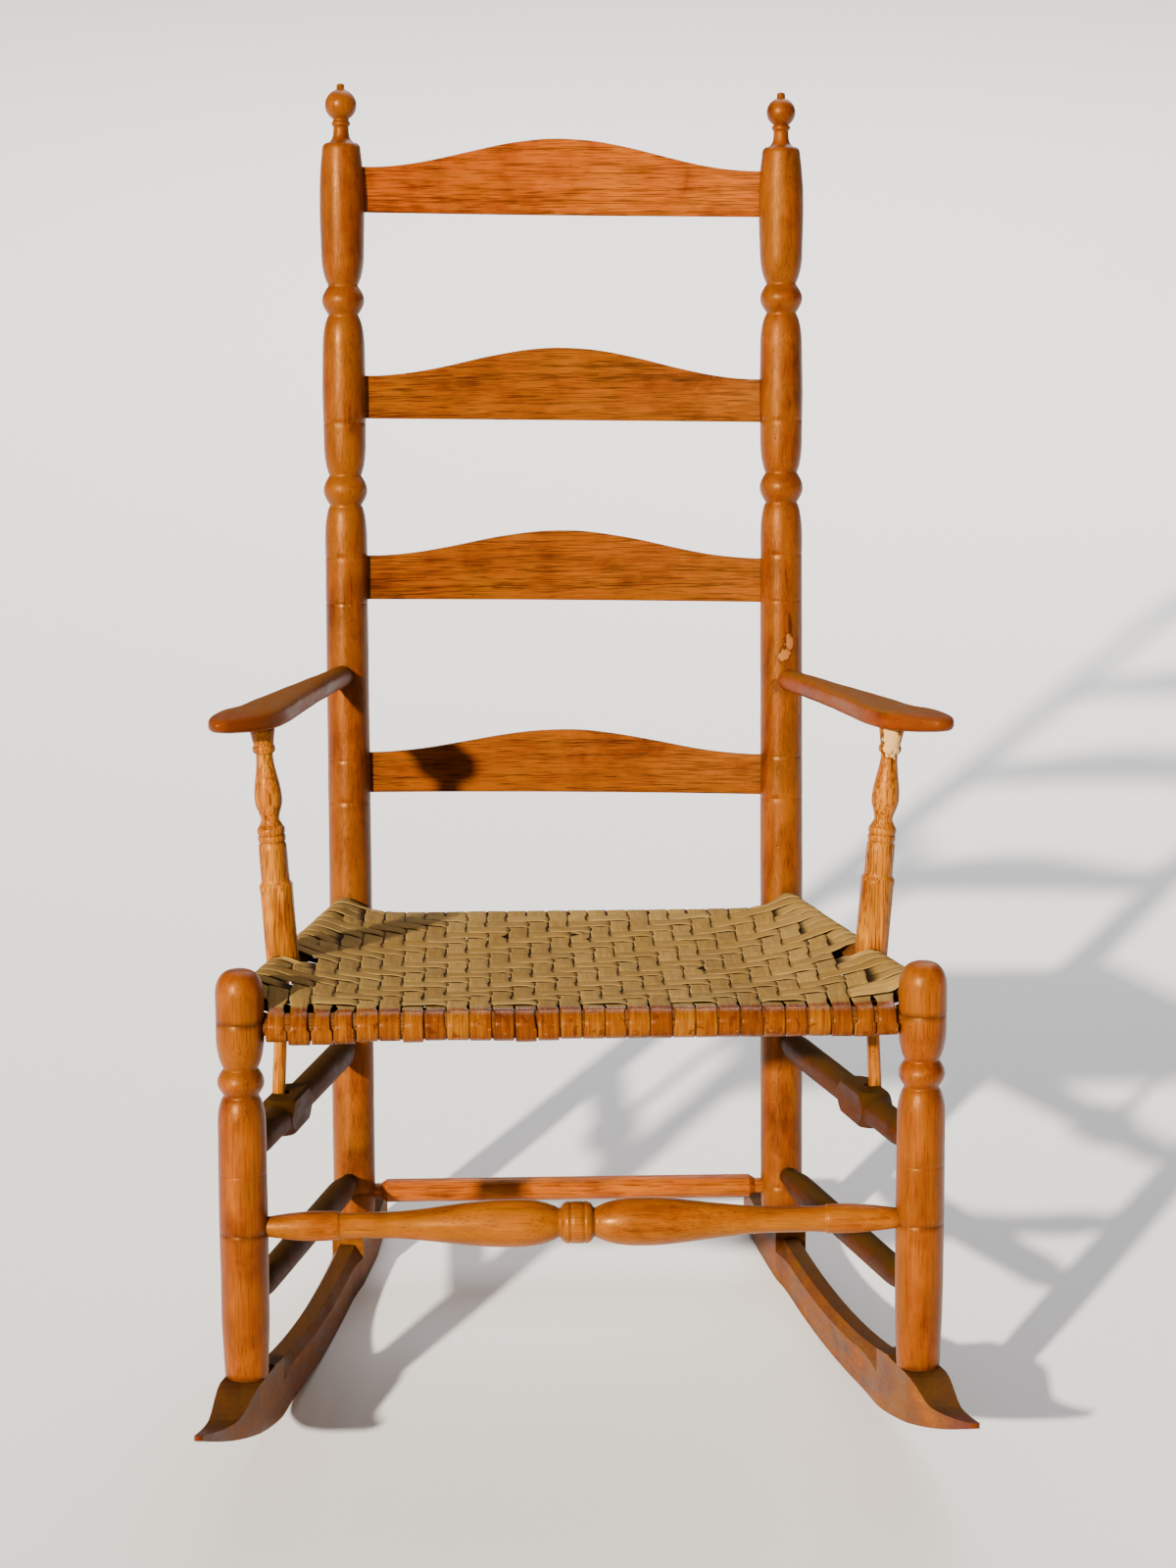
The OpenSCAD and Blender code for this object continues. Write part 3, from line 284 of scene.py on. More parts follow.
# The three lower slats are painted darker and browner, as painted shade.
SHADED_LOW_ASH = ("#4F1A01", "#723301", "#7E3E02", "#763E02")
SHAVED_MAPLE = ("#3C1801", "#663102", "#884C07", "#663D03")
LIT_FRONT_STRETCHER = ("#5D2701", "#7E3E02", "#955203", "#7F4A02")
SHADED_SIDE_STRETCHER = ("#250900", "#3D1701", "#512401", "#3B1E01")
REAR_STRETCHER = ("#672701", "#944502", "#AA5C04", "#904F02")
ARM_MAPLE = ("#441601", "#6E2B01", "#893E02", "#713702")
SUPPORT_ASH = ("#6D2E02", "#A35B07", "#BB7C19", "#A5690D")
SHADED_RAIL_MAPLE = ("#3E1D08", "#633411", "#7D481D", "#6B4317")
# Pores: their width in millimetres, the share of the wood that they take, and how dark they are.
FINE_PORES = (0.6, 0.4, 0.45)
OPEN_PORES = (0.6, 0.43, 0.8)
SUPPORT_PORES = (0.8, 0.45, 0.75)
BARE_MAPLE, BARE_ASH, BURN, STAIN = "#92592A", "#C89E62", "#32100A", "#4A1E08"
# Worn patches beside the right arm's joint and at the top of the right support.
POST_PATCHES = (
    ((205, 386, 616), 4.5, 2.0, BARE_MAPLE), ((200, 385, 604), 6.5, 1.0, BARE_MAPLE),
    ((206, 387, 633), 2.2, 4.5, BURN), ((215, 389, 559), 3.6, 4.2, BARE_MAPLE),
    ((193, 385, 576), 5, 1.6, STAIN),
)
SUPPORT_PATCHES = (((268, 136, 566), 9, 1.9, BARE_ASH),)

front_post_finish = old_wood(
    "shellacked_maple_front_post", PALE_MAPLE, "Z", FINE_PORES, 0.4, FRONT_SCRIBES, figure=0.7)
rear_post_finish = old_wood(
    "shellacked_maple_rear_post", MAPLE, "Z", FINE_PORES, 0.42, REAR_SCRIBES, POST_PATCHES, figure=0.7)
# Riven slats, bent and scraped: long dark dashes of open grain under a satin varnish.
top_slat_finish = old_wood("shellacked_ash_top_slat", ASH, "Xy", OPEN_PORES, 0.46, figure=0.8)
slat_finish = old_wood("shellacked_ash_slat_painted_shade", SHADED_LOW_ASH, "Xy", OPEN_PORES, 0.46, figure=0.8)
# Rails that the splint hides: split and rounded, and only partly varnished, so they are dry. They
# are painted dark, as painted shade in the gaps between the folds.
shaded_rail_finish = old_wood("riven_maple_rail_painted_shade", SHADED_RAIL_MAPLE, "X", OPEN_PORES, 0.6)
front_stretcher_finish = old_wood(
    "shellacked_maple_front_stretcher", LIT_FRONT_STRETCHER, "X", FINE_PORES, 0.4, figure=0.7)
# The side stretchers stand in the seat's shade: their colours are painted darker, as painted shade,
# and what looks up is darker again, with dust and painted shade.
stretcher_finish = old_wood(
    "shellacked_maple_side_stretcher_painted_shade", SHADED_SIDE_STRETCHER, "Y", FINE_PORES, 0.6, dust_and_shade="#332408", figure=0.8)
rear_stretcher_finish = old_wood(
    "shellacked_maple_rear_stretcher", REAR_STRETCHER, "X", OPEN_PORES, 0.42)
# Elbows have rubbed the arms dull on top, where they are also painted darker, as dust and painted
# shade, and palms have darkened their front ends.
arm_finish = old_wood(
    "hand_worn_maple_arm", ARM_MAPLE, "Y", FINE_PORES, 0.5,
    dust_and_shade="#623C09", handled=(108, "#5C2606"), figure=0.9)
# Arm supports, turned and shaved from coarse ash: strong stripes of open grain, paler than the rest.
support_finish = old_wood(
    "shellacked_ash_arm_support", SUPPORT_ASH, "Z", SUPPORT_PORES, 0.42, worn=SUPPORT_PATCHES, figure=1.2)
# Rockers, sawn and shaved: feet and brooms have darkened them, most of all at the toes, and their
# tops are painted darker again, as dust and painted shade.
rocker_finish = old_wood(
    "dark_shaved_maple_rocker", SHAVED_MAPLE, "Y", FINE_PORES, 0.5,
    dust_and_shade="#2E2214", handled=(-96, "#4E1806"), figure=0.7)


# Widths of the splint's patterns, in millimetres. Fibres are about 0.2 mm; they are drawn coarser so
# that they show.
FIBRE, VEIN, DUST, RUBBED, FLAKE = 0.9, 3.4, 46, 9, 4
DRY_SPLINT = (0.34, "#6B5022"), (0.5, "#886B36"), (0.66, "#A28449")
AMBER_SPLINT = (0.36, "#481D01"), (0.5, "#6A3303"), (0.64, "#85530A")
# How far behind the front rail's middle the varnish starts to end and has ended.
VARNISH_ENDS = (10.0, 15.0)


def splint_finish(name, axis):
    """Thin ash splint, dry khaki with dust on the seat, and fine fibres along each strip. Where it
    folds over the front rail it still has its amber varnish, rubbed and cracked."""
    finish, tree = bare_finish(name)
    place = level_chair(tree)
    fibre = mottle(tree, place, FIBRE, grain(axis, 26), 4)
    vein = mottle(tree, place, VEIN, grain(axis, 14), 3, 0.4)
    dust = mottle(tree, place, DUST, warp=0.5)
    # Each strip has its own tone; its cut edges are painted pale, as frayed fibre and as painted
    # highlight.
    tone, rim, sunk = (
        add(tree, "Attribute", out="Fac", attribute_name=tint, attribute_type="GEOMETRY")
        for tint in ("tone", "rim", "sunk"))
    mixed = mixture(tree, (fibre, 0.34), (vein, 0.34), (tone, 0.32))
    dry = add(tree, "ValToRGB", {0: mixed}, stops=DRY_SPLINT)
    dust = add(tree, "MapRange", {0: dust, 1: 0.45, 2: 0.62, 3: 0.0, 4: 0.4})
    dry = add(tree, "Mix", {0: dust, 6: dry, 7: "#76633C"}, 2, data_type="RGBA")
    pale_rim = mixture(tree, (rim, 0.6), (fibre, 0.5))
    pale_rim = add(tree, "MapRange", {0: pale_rim, 1: 0.62, 2: 0.9, 3: 0.0, 4: 0.5})
    dry = add(tree, "Mix", {0: pale_rim, 6: dry, 7: "#AF9158"}, 2, data_type="RGBA")
    amber = add(tree, "ValToRGB", {0: mixed}, stops=AMBER_SPLINT)
    rubbed = mottle(tree, place, RUBBED, detail=4, warp=0.4)
    chips = add(tree, "MapRange", {0: rubbed, 1: 0.56, 2: 0.64, 3: 0.0, 4: 0.7})
    amber = add(tree, "Mix", {0: chips, 6: amber, 7: "#421502"}, 2, data_type="RGBA")
    flaked = mottle(tree, place, FLAKE, detail=3)
    flaked = add(tree, "MapRange", {0: flaked, 1: 0.66, 2: 0.71, 3: 0.0, 4: 0.5})
    amber = add(tree, "Mix", {0: flaked, 6: amber, 7: "#A06A32"}, 2, data_type="RGBA")
    # The varnish ends in a wavering line on top of the front rail.
    back = add(tree, "SeparateXYZ", {0: place}, 1)
    back = mixture(tree, (back, 1.0), (mottle(tree, place, 14), 9.0))
    start, end = VARNISH_ENDS
    folded = add(tree, "MapRange", {0: back, 1: start, 2: end, 3: 1.0, 4: 0.0})
    colour = add(tree, "Mix", {0: folded, 6: dry, 7: amber}, 2, data_type="RGBA")
    # Where a strip dives under the next, its sunk part is painted near black: painted shade in the slot
    # beside it, and dirt.
    colour = add(tree, "Mix", {0: sunk, 6: colour, 7: "#140A03"}, 2, data_type="RGBA")
    rough = mixture(tree, (folded, -0.58), (vein, 0.25), (rubbed, 0.2))
    rough = add(tree, "Math", {0: rough, 1: 0.64}, operation="ADD")
    height = mixture(tree, (fibre, 0.5), (vein, 0.6), (rubbed, 0.4))
    relief = add(tree, "Bump", {"Strength": 0.55, "Distance": 0.0006, "Height": height})
    body = add(tree, "BsdfPrincipled", {
        "Base Color": colour, "Roughness": rough, "IOR": SHELLAC_IOR, "Normal": relief,
        "Specular IOR Level": 0.24, "Specular Tint": "#FFC080",
    })
    add(tree, "OutputMaterial", {"Surface": body})
    return finish


warp_finish = splint_finish("dry_ash_splint_front_to_back", "YZ")
weft_finish = splint_finish("dry_ash_splint_side_to_side", "XZ")

FINISHES = {
    "front_post": front_post_finish, "rear_post": rear_post_finish, "slat": slat_finish,
    "seat_rail": shaded_rail_finish, "front_stretcher": front_stretcher_finish,
    "rear_stretcher": rear_stretcher_finish, "side_stretcher": stretcher_finish,
    "arm": arm_finish, "arm_support": support_finish, "rocker": rocker_finish,
}


def finish_of(node):
    """The finish whose name the node's own name starts with; the longest such name counts."""
    return FINISHES[max((key for key in FINISHES if node.startswith(key)), key=len)]


for node_name, node_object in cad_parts.items():
    if not node_name.startswith("seat_w"):
        node_object.data.materials.clear()
        node_object.data.materials.append(finish_of(node_name))


def piece(name, points, faces, finish, node, tints=None):
    """A new piece of the level chair's geometry that stands for a CAD node. tints are numbers for
    each point, by name, that the finish reads."""
    mesh = bpy.data.meshes.new(name)
    mesh.from_pydata([at_rest(p) for p in points], [], faces)
    shell = bmesh.new()
    shell.from_mesh(mesh)
    bmesh.ops.recalc_face_normals(shell, faces=shell.faces)
    shell.to_mesh(mesh)
    shell.free()
    mesh.materials.append(finish)
    for tint, values in (tints or {}).items():
        mesh.attributes.new(tint, "FLOAT", "POINT").data.foreach_set("value", values)
    mesh.polygons.foreach_set("use_smooth", [True] * len(mesh.polygons))
    made = bpy.data.objects.new(name, mesh)
    bpy.context.scene.collection.objects.link(made)
    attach(made, "root")
    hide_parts(node)


def skin(rows, sides, closed=False):
    """Faces round a body of so many rows of points, with an end on each side unless it is closed."""
    faces = []
    for m in range(rows if closed else rows - 1):
        low, high = m * sides, (m + 1) % rows * sides
        for k in range(sides):
            n = (k + 1) % sides
            faces.append((low + k, low + n, high + n, high + k))
    if not closed:
        faces.append(tuple(reversed(range(sides))))
        faces.append(tuple(range((rows - 1) * sides, rows * sides)))
    return faces


# ---- Turned sticks: outlines are lists of (radius, height) from the lower end up

# A turned outline starts and ends with a face this small in radius.
TIP = 0.6


def ease(r0, z0, r1, z1, n):
    """A soft S-curve from one radius to another, in n steps."""
    return [(r0 + (r1 - r0) * (1 - math.cos(math.pi * k / n)) / 2, z0 + (z1 - z0) * k / n)
            for k in range(1, n + 1)]


def bead(z, core, r, half):
    """A round bead that stands on a core, half as tall as given on each side of its middle."""
    return [(core + (r - core) * math.cos(a), z + half * math.sin(a))
            for a in (math.radians(10 * k - 90) for k in range(19))]


def ring(z, core, r, half):
    """A ring with soft coves on both sides."""
    return [(core + (r - core) * math.cos(a), z + half * a / (math.pi / 2))
            for a in (math.radians(9 * k - 90) for k in range(21))]


def barrel_end(r0, z0, r1, z1):
    """A barrel that curves in ever faster from its full width to the neck, as a circle's first 60
    degrees do."""
    tall = z1 - z0
    return [(r0 - (r0 - r1) * (1 - math.cos(a)) / 0.5,
             z0 + tall * math.sin(a) / math.sin(math.radians(60)))
            for a in (math.radians(6 * k) for k in range(1, 11))]


def barrel_start(r0, z0, r1, z1):
    """The same the other way up: from the neck out to the full width."""
    return [(r, z) for r, z in reversed([(r1, z1)] + barrel_end(r1, z1, r0, z0))]


def dome(z, r, h):
    """A dome a little fuller than a round one, h tall."""
    return [(r * math.cos(a) ** 0.66, z + h * math.sin(a))
            for a in (math.radians(6 * k) for k in range(15))] + [(TIP, z + h)]


def reversed_up(outline, length):
    """The outline of a stick of that length, turned end for end."""
    return [(r, length - z) for r, z in reversed(outline)]


# A scribed groove across its height: place and depth, in millimetres.
GROOVE = ((-0.9, 0), (-0.25, -0.3), (0.25, -0.3), (0.9, 0))


def filled_in(outline, cuts, step=5.0):
    """The same outline with a row at least every step, and a scribed groove at each cut."""
    out = [outline[0]]
    for (r0, z0), (r1, z1) in zip(outline, outline[1:]):
        marks = []
        for cut in cuts:
            if z0 < cut - 1 and cut + 1 < z1:
                marks += [(cut + edge, deep) for edge, deep in GROOVE]
        n = max(1, math.ceil(math.dist((r0, z0), (r1, z1)) / step))
        marks += [(z0 + (z1 - z0) * k / n, 0) for k in range(1, n + 1)
                  if all(abs(z0 + (z1 - z0) * k / n - cut) > 1.2 for cut in cuts)]
        for z, deep in sorted(marks):
            f = (z - z0) / (z1 - z0) if z1 != z0 else 1
            out.append((r0 + (r1 - r0) * f + deep, z))
        if z1 == z0:
            out.append((r1, z1))
    return out


def turned(base, tip, outline, cuts=(), sides=44, hand=0.22, shape=None):
    """Points and faces of an outline turned about the line from base towards tip. No turner's cut
    is quite even: the surface wanders by hand, in mm. shape(radius, height, angle) may change a
    radius, and cuts are the heights of scribed grooves."""
    base, tip = Vector(base), Vector(tip)
    up = (tip - base).normalized()
    side = Vector((0, 1, 0)).cross(up) if abs(up.y) < 0.9 else up.cross(Vector((0, 0, 1)))
    side.normalize()
    back = up.cross(side)
    rows = filled_in(outline, cuts)
    points = []
    for r, z in rows:
        for k in range(sides):
            a = 2 * math.pi * k / sides
            out = side * math.cos(a) + back * math.sin(a)
            far = r if shape is None else shape(r, z, a)
            if far > 2:
                spot = base + up * z + out * far
                far += hand * noise.noise(spot * 0.024) + hand * 0.4 * noise.noise(spot * 0.09)
            points.append(base + up * z + out * far)
    return points, skin(len(rows), sides)


def joined(*bodies):
    """Several bodies' points and faces as one piece's."""
    points, faces = [], []
    for new_points, new_faces in bodies:
        faces += [tuple(v + len(points) for v in face) for face in new_faces]
        points += new_points
    return points, faces


def front_post(side):
    """A plain shaft, a ring between two necks, and a domed barrel at the seat."""
    rise = FRONT_RING_Z - FRONT_FOOT_Z
    top = FRONT_TOP_Z - FRONT_FOOT_Z
    outline = [(TIP, 0), (FRONT_R - 3.2, 0), (FRONT_R - 2.2, 0.8), (FRONT_R - 0.3, 46), (FRONT_R, 130),
               (FRONT_R - 0.3, rise - 36)]
    outline += barrel_end(FRONT_R - 0.3, rise - 36, 15.2, rise - 13) + ring(rise, 14, 19.3, 11.5)
    outline += barrel_start(15, rise + 13, FRONT_R - 0.4, rise + 40) + dome(top - 21, FRONT_R - 0.3, 21)
    x = side * FRONT_W / 2
    name = "front_post_" + side_name(side)
    cuts = [z - FRONT_FOOT_Z for z in FRONT_SCRIBES]
    points, faces = turned((x, 0, FRONT_FOOT_Z), (x, 0, FRONT_TOP_Z), outline, cuts)
    piece("turned_" + name, points, faces, front_post_finish, name)


# Left and right rear posts: height of the shoulder, the finial's height above it, the ball's radius.
SHOULDER_Z, FINIAL_TALL, BALL_R = (1067, 1062), (53, 49), (14.2, 13)


def rear_post(side):
    """A long shaft with two rings, a swelled top and a ball finial with a worn nib."""
    def up_post(z):
        """How far up the leaning post that height is."""
        return (z - REAR_FOOT_Z) / math.cos(REAR_LEAN)

    low, high = up_post(LOW_RING_Z), up_post(HIGH_RING_Z)
    shoulder = up_post(pick(SHOULDER_Z, side))
    ball = pick(BALL_R, side)
    top = shoulder + pick(FINIAL_TALL, side)
    ball_at = top - ball - 5.5
    outline = [(TIP, 0), (REAR_R - 2.4, 0), (REAR_R - 1.6, 0.8), (REAR_R - 0.3, 40), (REAR_R, 260),
               (REAR_R - 0.4, low - 46)]
    outline += barrel_end(REAR_R - 0.4, low - 46, 15.6, low - 16) + ring(low, 14.4, 19.8, 13.5)
    outline += barrel_start(15.4, low + 16, REAR_R - 0.4, low + 46)
    outline += [(REAR_R + 0.2, (low + high) / 2), (REAR_R - 0.5, high - 44)]
    outline += barrel_end(REAR_R - 0.5, high - 44, 14.6, high - 15.5) + ring(high, 13.4, 19.2, 13)
    outline += barrel_start(14.4, high + 15.5, REAR_R - 0.2, high + 44)
    outline += [(REAR_R + 0.7, high + 74), (REAR_R + 0.5, high + 98), (REAR_R, shoulder - 32),
                (18.8, shoulder - 19), (17.6, shoulder - 9)]
    outline += [(13 + 4.5 * math.cos(math.radians(a)), shoulder - 7 + 6.6 * math.sin(math.radians(a)))
                for a in range(15, 91, 15)]
    outline += [(12.4 - 5.4 * math.sin(math.radians(a)), shoulder + 10 * (1 - math.cos(math.radians(a))))
                for a in range(10, 91, 10)]
    outline += [(6.9, shoulder + 13)] + bead(shoulder + 16.6, 7.1, 8.4, 2.2)
    outline += [(ball * math.cos(math.radians(a)), ball_at + ball * math.sin(math.radians(a)))
                for a in range(-60, 75, 6)]
    outline += [(3.9, ball_at + ball * 0.966), (3.7, top - 2.2), (2.9, top - 0.9), (TIP, top - 0.5)]
    name = "rear_post_" + side_name(side)
    cuts = [up_post(z) for z in REAR_SCRIBES]
    points, faces = turned(rear_at(side, REAR_FOOT_Z), rear_at(side, REAR_AIM_Z), outline, cuts)
    piece("turned_" + name, points, faces, rear_post_finish, name)


for side in (LEFT, RIGHT):
    front_post(side)
    rear_post(side)


# The turner left the stretcher's ring this far left of its middle.
RING_OFF = 5


def half_stretcher(mid):
    """From a post to the middle of the front stretcher: a barrel, a long swelling and half a ring."""
    start = FRONT_R - 6
    to = FRONT_R + 0.6 + 58
    outline = [(7, start), (8.0, FRONT_R - 1)]
    outline += [(8.6 + 3.8 * math.sin(math.radians(a)), FRONT_R + 0.6 + 46.4 * a / 100)
                for a in range(0, 101, 10)]
    outline += [(12.1, to - 2), (11.6, to - 0.5), (11.0, to), (10.9, to + 1.4), (10.5, to + 10)]
    outline += [(10.9, mid - 165)] + ease(10.9, mid - 165, 19.9, mid - 54, 16)
    outline += barrel_end(19.9, mid - 50, 12, mid - 15) + ease(12, mid - 15, 16.4, mid - 10.5, 4)
    return outline + [(17.4, mid - 8.4), (17.5, mid - 6.5), (16.5, mid - 5.9), (17.5, mid - 5.2)]


def front_stretcher():
    """A barrel at each end, two long swellings and a grooved ring between them."""
    outline = half_stretcher(FRONT_W / 2 - RING_OFF)
    outline += reversed_up(half_stretcher(FRONT_W / 2 + RING_OFF), FRONT_W)
    outline = [(TIP, outline[0][1])] + outline + [(TIP, outline[-1][1])]
    left, right = (-FRONT_W / 2, 0, STRETCHER_Z), (FRONT_W / 2, 0, STRETCHER_Z)
    points, faces = turned(left, right, outline, hand=0.3)
    name = "front_stretcher"
    piece("turned_" + name, points, faces, front_stretcher_finish, name)


front_stretcher()

# ---- Slats: bowed boards with a straight lower edge and a cupped arch on top

# Half the length of a slat in its sockets, how far it bows back, its thickness, how round its edges
# are, and how much higher its left end is.
SLAT_HALF = REAR_W / 2 - 3.5
SLAT_BOW, SLAT_T, SLAT_EASE, SLAT_RISE = 14, 6.5, 1.5, 3
BOW_R = (SLAT_HALF ** 2 + SLAT_BOW ** 2) / (2 * SLAT_BOW)
ARCH_HALF = REAR_W / 2 - REAR_R - 2
SLAT_COLUMNS = 97
# Each slat's name, height of its lower edge, and width at its middle and at its ends.
SLATS = (("slat_bottom", 476, 58, 37), ("slat_lower_middle", 653, 64, 40),
         ("slat_upper_middle", 817, 66, 39), ("slat_top", 1002, 69, 41))


def slat(name, z, middle, ends):
    """A board shaved by hand from riven ash, 6.5 mm thick with its edges eased."""
    foot = rear_at(0, REAR_FOOT_Z)
    up = Vector((0, math.sin(REAR_LEAN), math.cos(REAR_LEAN)))
    back = Vector((0, math.cos(REAR_LEAN), -math.sin(REAR_LEAN)))
    low = (z - REAR_FOOT_Z) / math.cos(REAR_LEAN)
    tilt = -2 * SLAT_RISE / REAR_W
    points = []
    for k in range(SLAT_COLUMNS):
        x = SLAT_HALF * (2 * k / (SLAT_COLUMNS - 1) - 1)
        arch = (1 + math.cos(math.pi * x / ARCH_HALF)) / 2 if abs(x) < ARCH_HALF else 0
        high = ends + (middle - ends) * arch
        bow = SLAT_BOW - BOW_R + math.sqrt(BOW_R ** 2 - x ** 2)
        rows = []
        t = SLAT_T / 2 - SLAT_EASE
        for sign_v, sign_w, start in ((-1, -1, 180), (1, -1, 270), (1, 1, 0), (-1, 1, 90)):
            for a in (0, 22.5, 45, 67.5, 90):
                turn = math.radians(start + a)
                across = sign_w * t + SLAT_EASE * math.sin(turn)
                along = (high - SLAT_EASE if sign_v > 0 else SLAT_EASE) + SLAT_EASE * math.cos(turn)
                rows.append((along, across))
            if sign_w == -1 and sign_v == -1:
                rows += [(high * f, -SLAT_T / 2) for f in (0.2, 0.4, 0.6, 0.8)]
            if sign_w == 1 and sign_v == 1:
                rows += [(high * f, SLAT_T / 2) for f in (0.8, 0.6, 0.4, 0.2)]
        for along, across in rows:
            spot = Vector((x, along, across + z)) * 0.02
            across += 0.45 * noise.noise(spot) + 0.12 * noise.noise(spot * 5)
            along += 0.3 * noise.noise(spot * 1.7 + Vector((3, 0, 0))) if along > high / 2 else 0.0
            height = low + along + x * tilt
            points.append(foot + Vector((x, 0, 0)) + up * height + back * (bow + across))
    finish = top_slat_finish if name == "slat_top" else slat_finish
    faces = skin(SLAT_COLUMNS, len(points) // SLAT_COLUMNS)
    piece("shaved_" + name, points, faces, finish, name)


for slat_sizes in SLATS:
    slat(*slat_sizes)

# ---- Arms: a round bar at the back that widens to a flat hand, turned outward at its end

# An arm's thickness and width at the hand, and how far the hand reaches past the support.
ARM_T, ARM_W, HAND_REACH = 18.5, 46, 66
# The left and the right one: how far out the support's foot stands and its top leans, the arm's
# height at the back and over the support, and how far out the hand turns.
SUPPORT_OUT, SUPPORT_SPLAY = (1.5, 4.5), (14, 16)
ARM_BACK_Z, ARM_TOP_Z, HAND_OUT = (588, 581), (590, 585), (19, 23)


def support_foot(side):
    """The middle of a support's foot, on the right-hand side of the chair."""
    return Vector((side_x(SUPPORT_Y) + pick(SUPPORT_OUT, side), SUPPORT_Y, SIDE_RAIL_Z + RAIL_R + 4))


def arm_ends(side):
    """An arm's middle at the rear post and over the support, on the right-hand side."""
    back = rear_at(RIGHT, pick(ARM_BACK_Z, side))
    front = Vector((support_foot(side).x + pick(SUPPORT_SPLAY, side), SUPPORT_Y, pick(ARM_TOP_Z, side)))
    return back, front


def curve_through(stations, u):
    """A smooth curve through the stations, with u from 0 to the last station's number."""
    last = len(stations) - 1
    k = min(int(u), last - 1)
    f = u - k
    rows = [stations[n] for n in (max(k - 1, 0), k, k + 1, min(k + 2, last))]
    return [0.5 * (2 * b + (c - a) * f + (2 * a - 5 * b + 4 * c - d) * f * f
                   + (3 * b - a - 3 * c + d) * f ** 3)
            for a, b, c, d in zip(*rows)]


def arm(side):
    """An arm shaved from one board, with its hand turned outward and worn round."""
    back, front = arm_ends(side)
    length = (front - back).length
    way = (front - back) / length
    out = Vector((-way.y, way.x, 0))
    outward = pick(HAND_OUT, side)
    # Each station: distance from the rear post, outward offset, width, thickness and squareness.
    stations = [
        (REAR_R - 13, 0, 18, 18, 2.1), (REAR_R + 1, 0, 20, 20, 2.1),
        (length * 0.3, 1.2, ARM_W * 0.54, ARM_T + 1.5, 2.4),
        (length * 0.55, 1.8, ARM_W * 0.7, ARM_T + 1, 3),
        (length * 0.8, 1, ARM_W * 0.86, ARM_T + 0.5, 4), (length, 1, ARM_W * 0.98, ARM_T, 4.4),
        (length + HAND_REACH * 0.38, outward * 0.42, ARM_W, ARM_T - 0.5, 4),
        (length + HAND_REACH * 0.72, outward * 0.78, ARM_W * 0.74, ARM_T - 2.5, 3.2),
        (length + HAND_REACH * 0.93, outward * 0.95, ARM_W * 0.42, ARM_T - 6, 2.6),
        (length + HAND_REACH, outward, ARM_W * 0.12, 4, 2),
    ]
    # Where the arm is cut across, in stations: evenly, and closer together round the tip.
    turns = [k / 9 + 0.02 for k in range(72)] + [8.02, 8.15, 8.3, 8.45, 8.6, 8.72, 8.82, 8.88]
    sides = 56
    points = []
    for u in turns:
        along, off, wide, thick, square = curve_through(stations, u)
        ahead, behind = curve_through(stations, u + 0.02), curve_through(stations, u - 0.02)
        run = way * (ahead[0] - behind[0]) + out * (ahead[1] - behind[1])
        across = Vector((-run.y, run.x, 0)).normalized()
        middle = back + way * along + out * off
        for k in range(sides):
            c, s = math.cos(2 * math.pi * k / sides), math.sin(2 * math.pi * k / sides)
            spot = across * (wide / 2 * math.copysign(abs(c) ** (2 / square), c))
            spot.z += thick / 2 * math.copysign(abs(s) ** (2 / square), s)
            place = middle + spot
            # Hands have worn the edges and dished the top a little.
            worn = 0.45 * noise.noise(place * 0.03 + Vector((7 * side, 0, 0)))
            worn += 0.15 * noise.noise(place * 0.11)
            place += spot.normalized() * (worn - 0.35)
            points.append(Vector((place.x * side, place.y, place.z)))
    name = "arm_" + side_name(side)
    piece("hand_worn_" + name, points, skin(len(turns), sides), arm_finish, name)


# ---- Arm supports: turned above the seat, shaved eight-sided below, with a pin to the stretcher

# The eight-sided foot's radius and height, the tongue below it, and the shaft, vase and neck.
FOOT_R, OCT_H, TONGUE, SHAFT_R, VASE_R, VASE_NECK_R = 15, 56, 20, 12.1, 11.7, 7.8
# How far out the pin ends in the stretcher's block, left and right.
PIN_OUT = (6, 5)


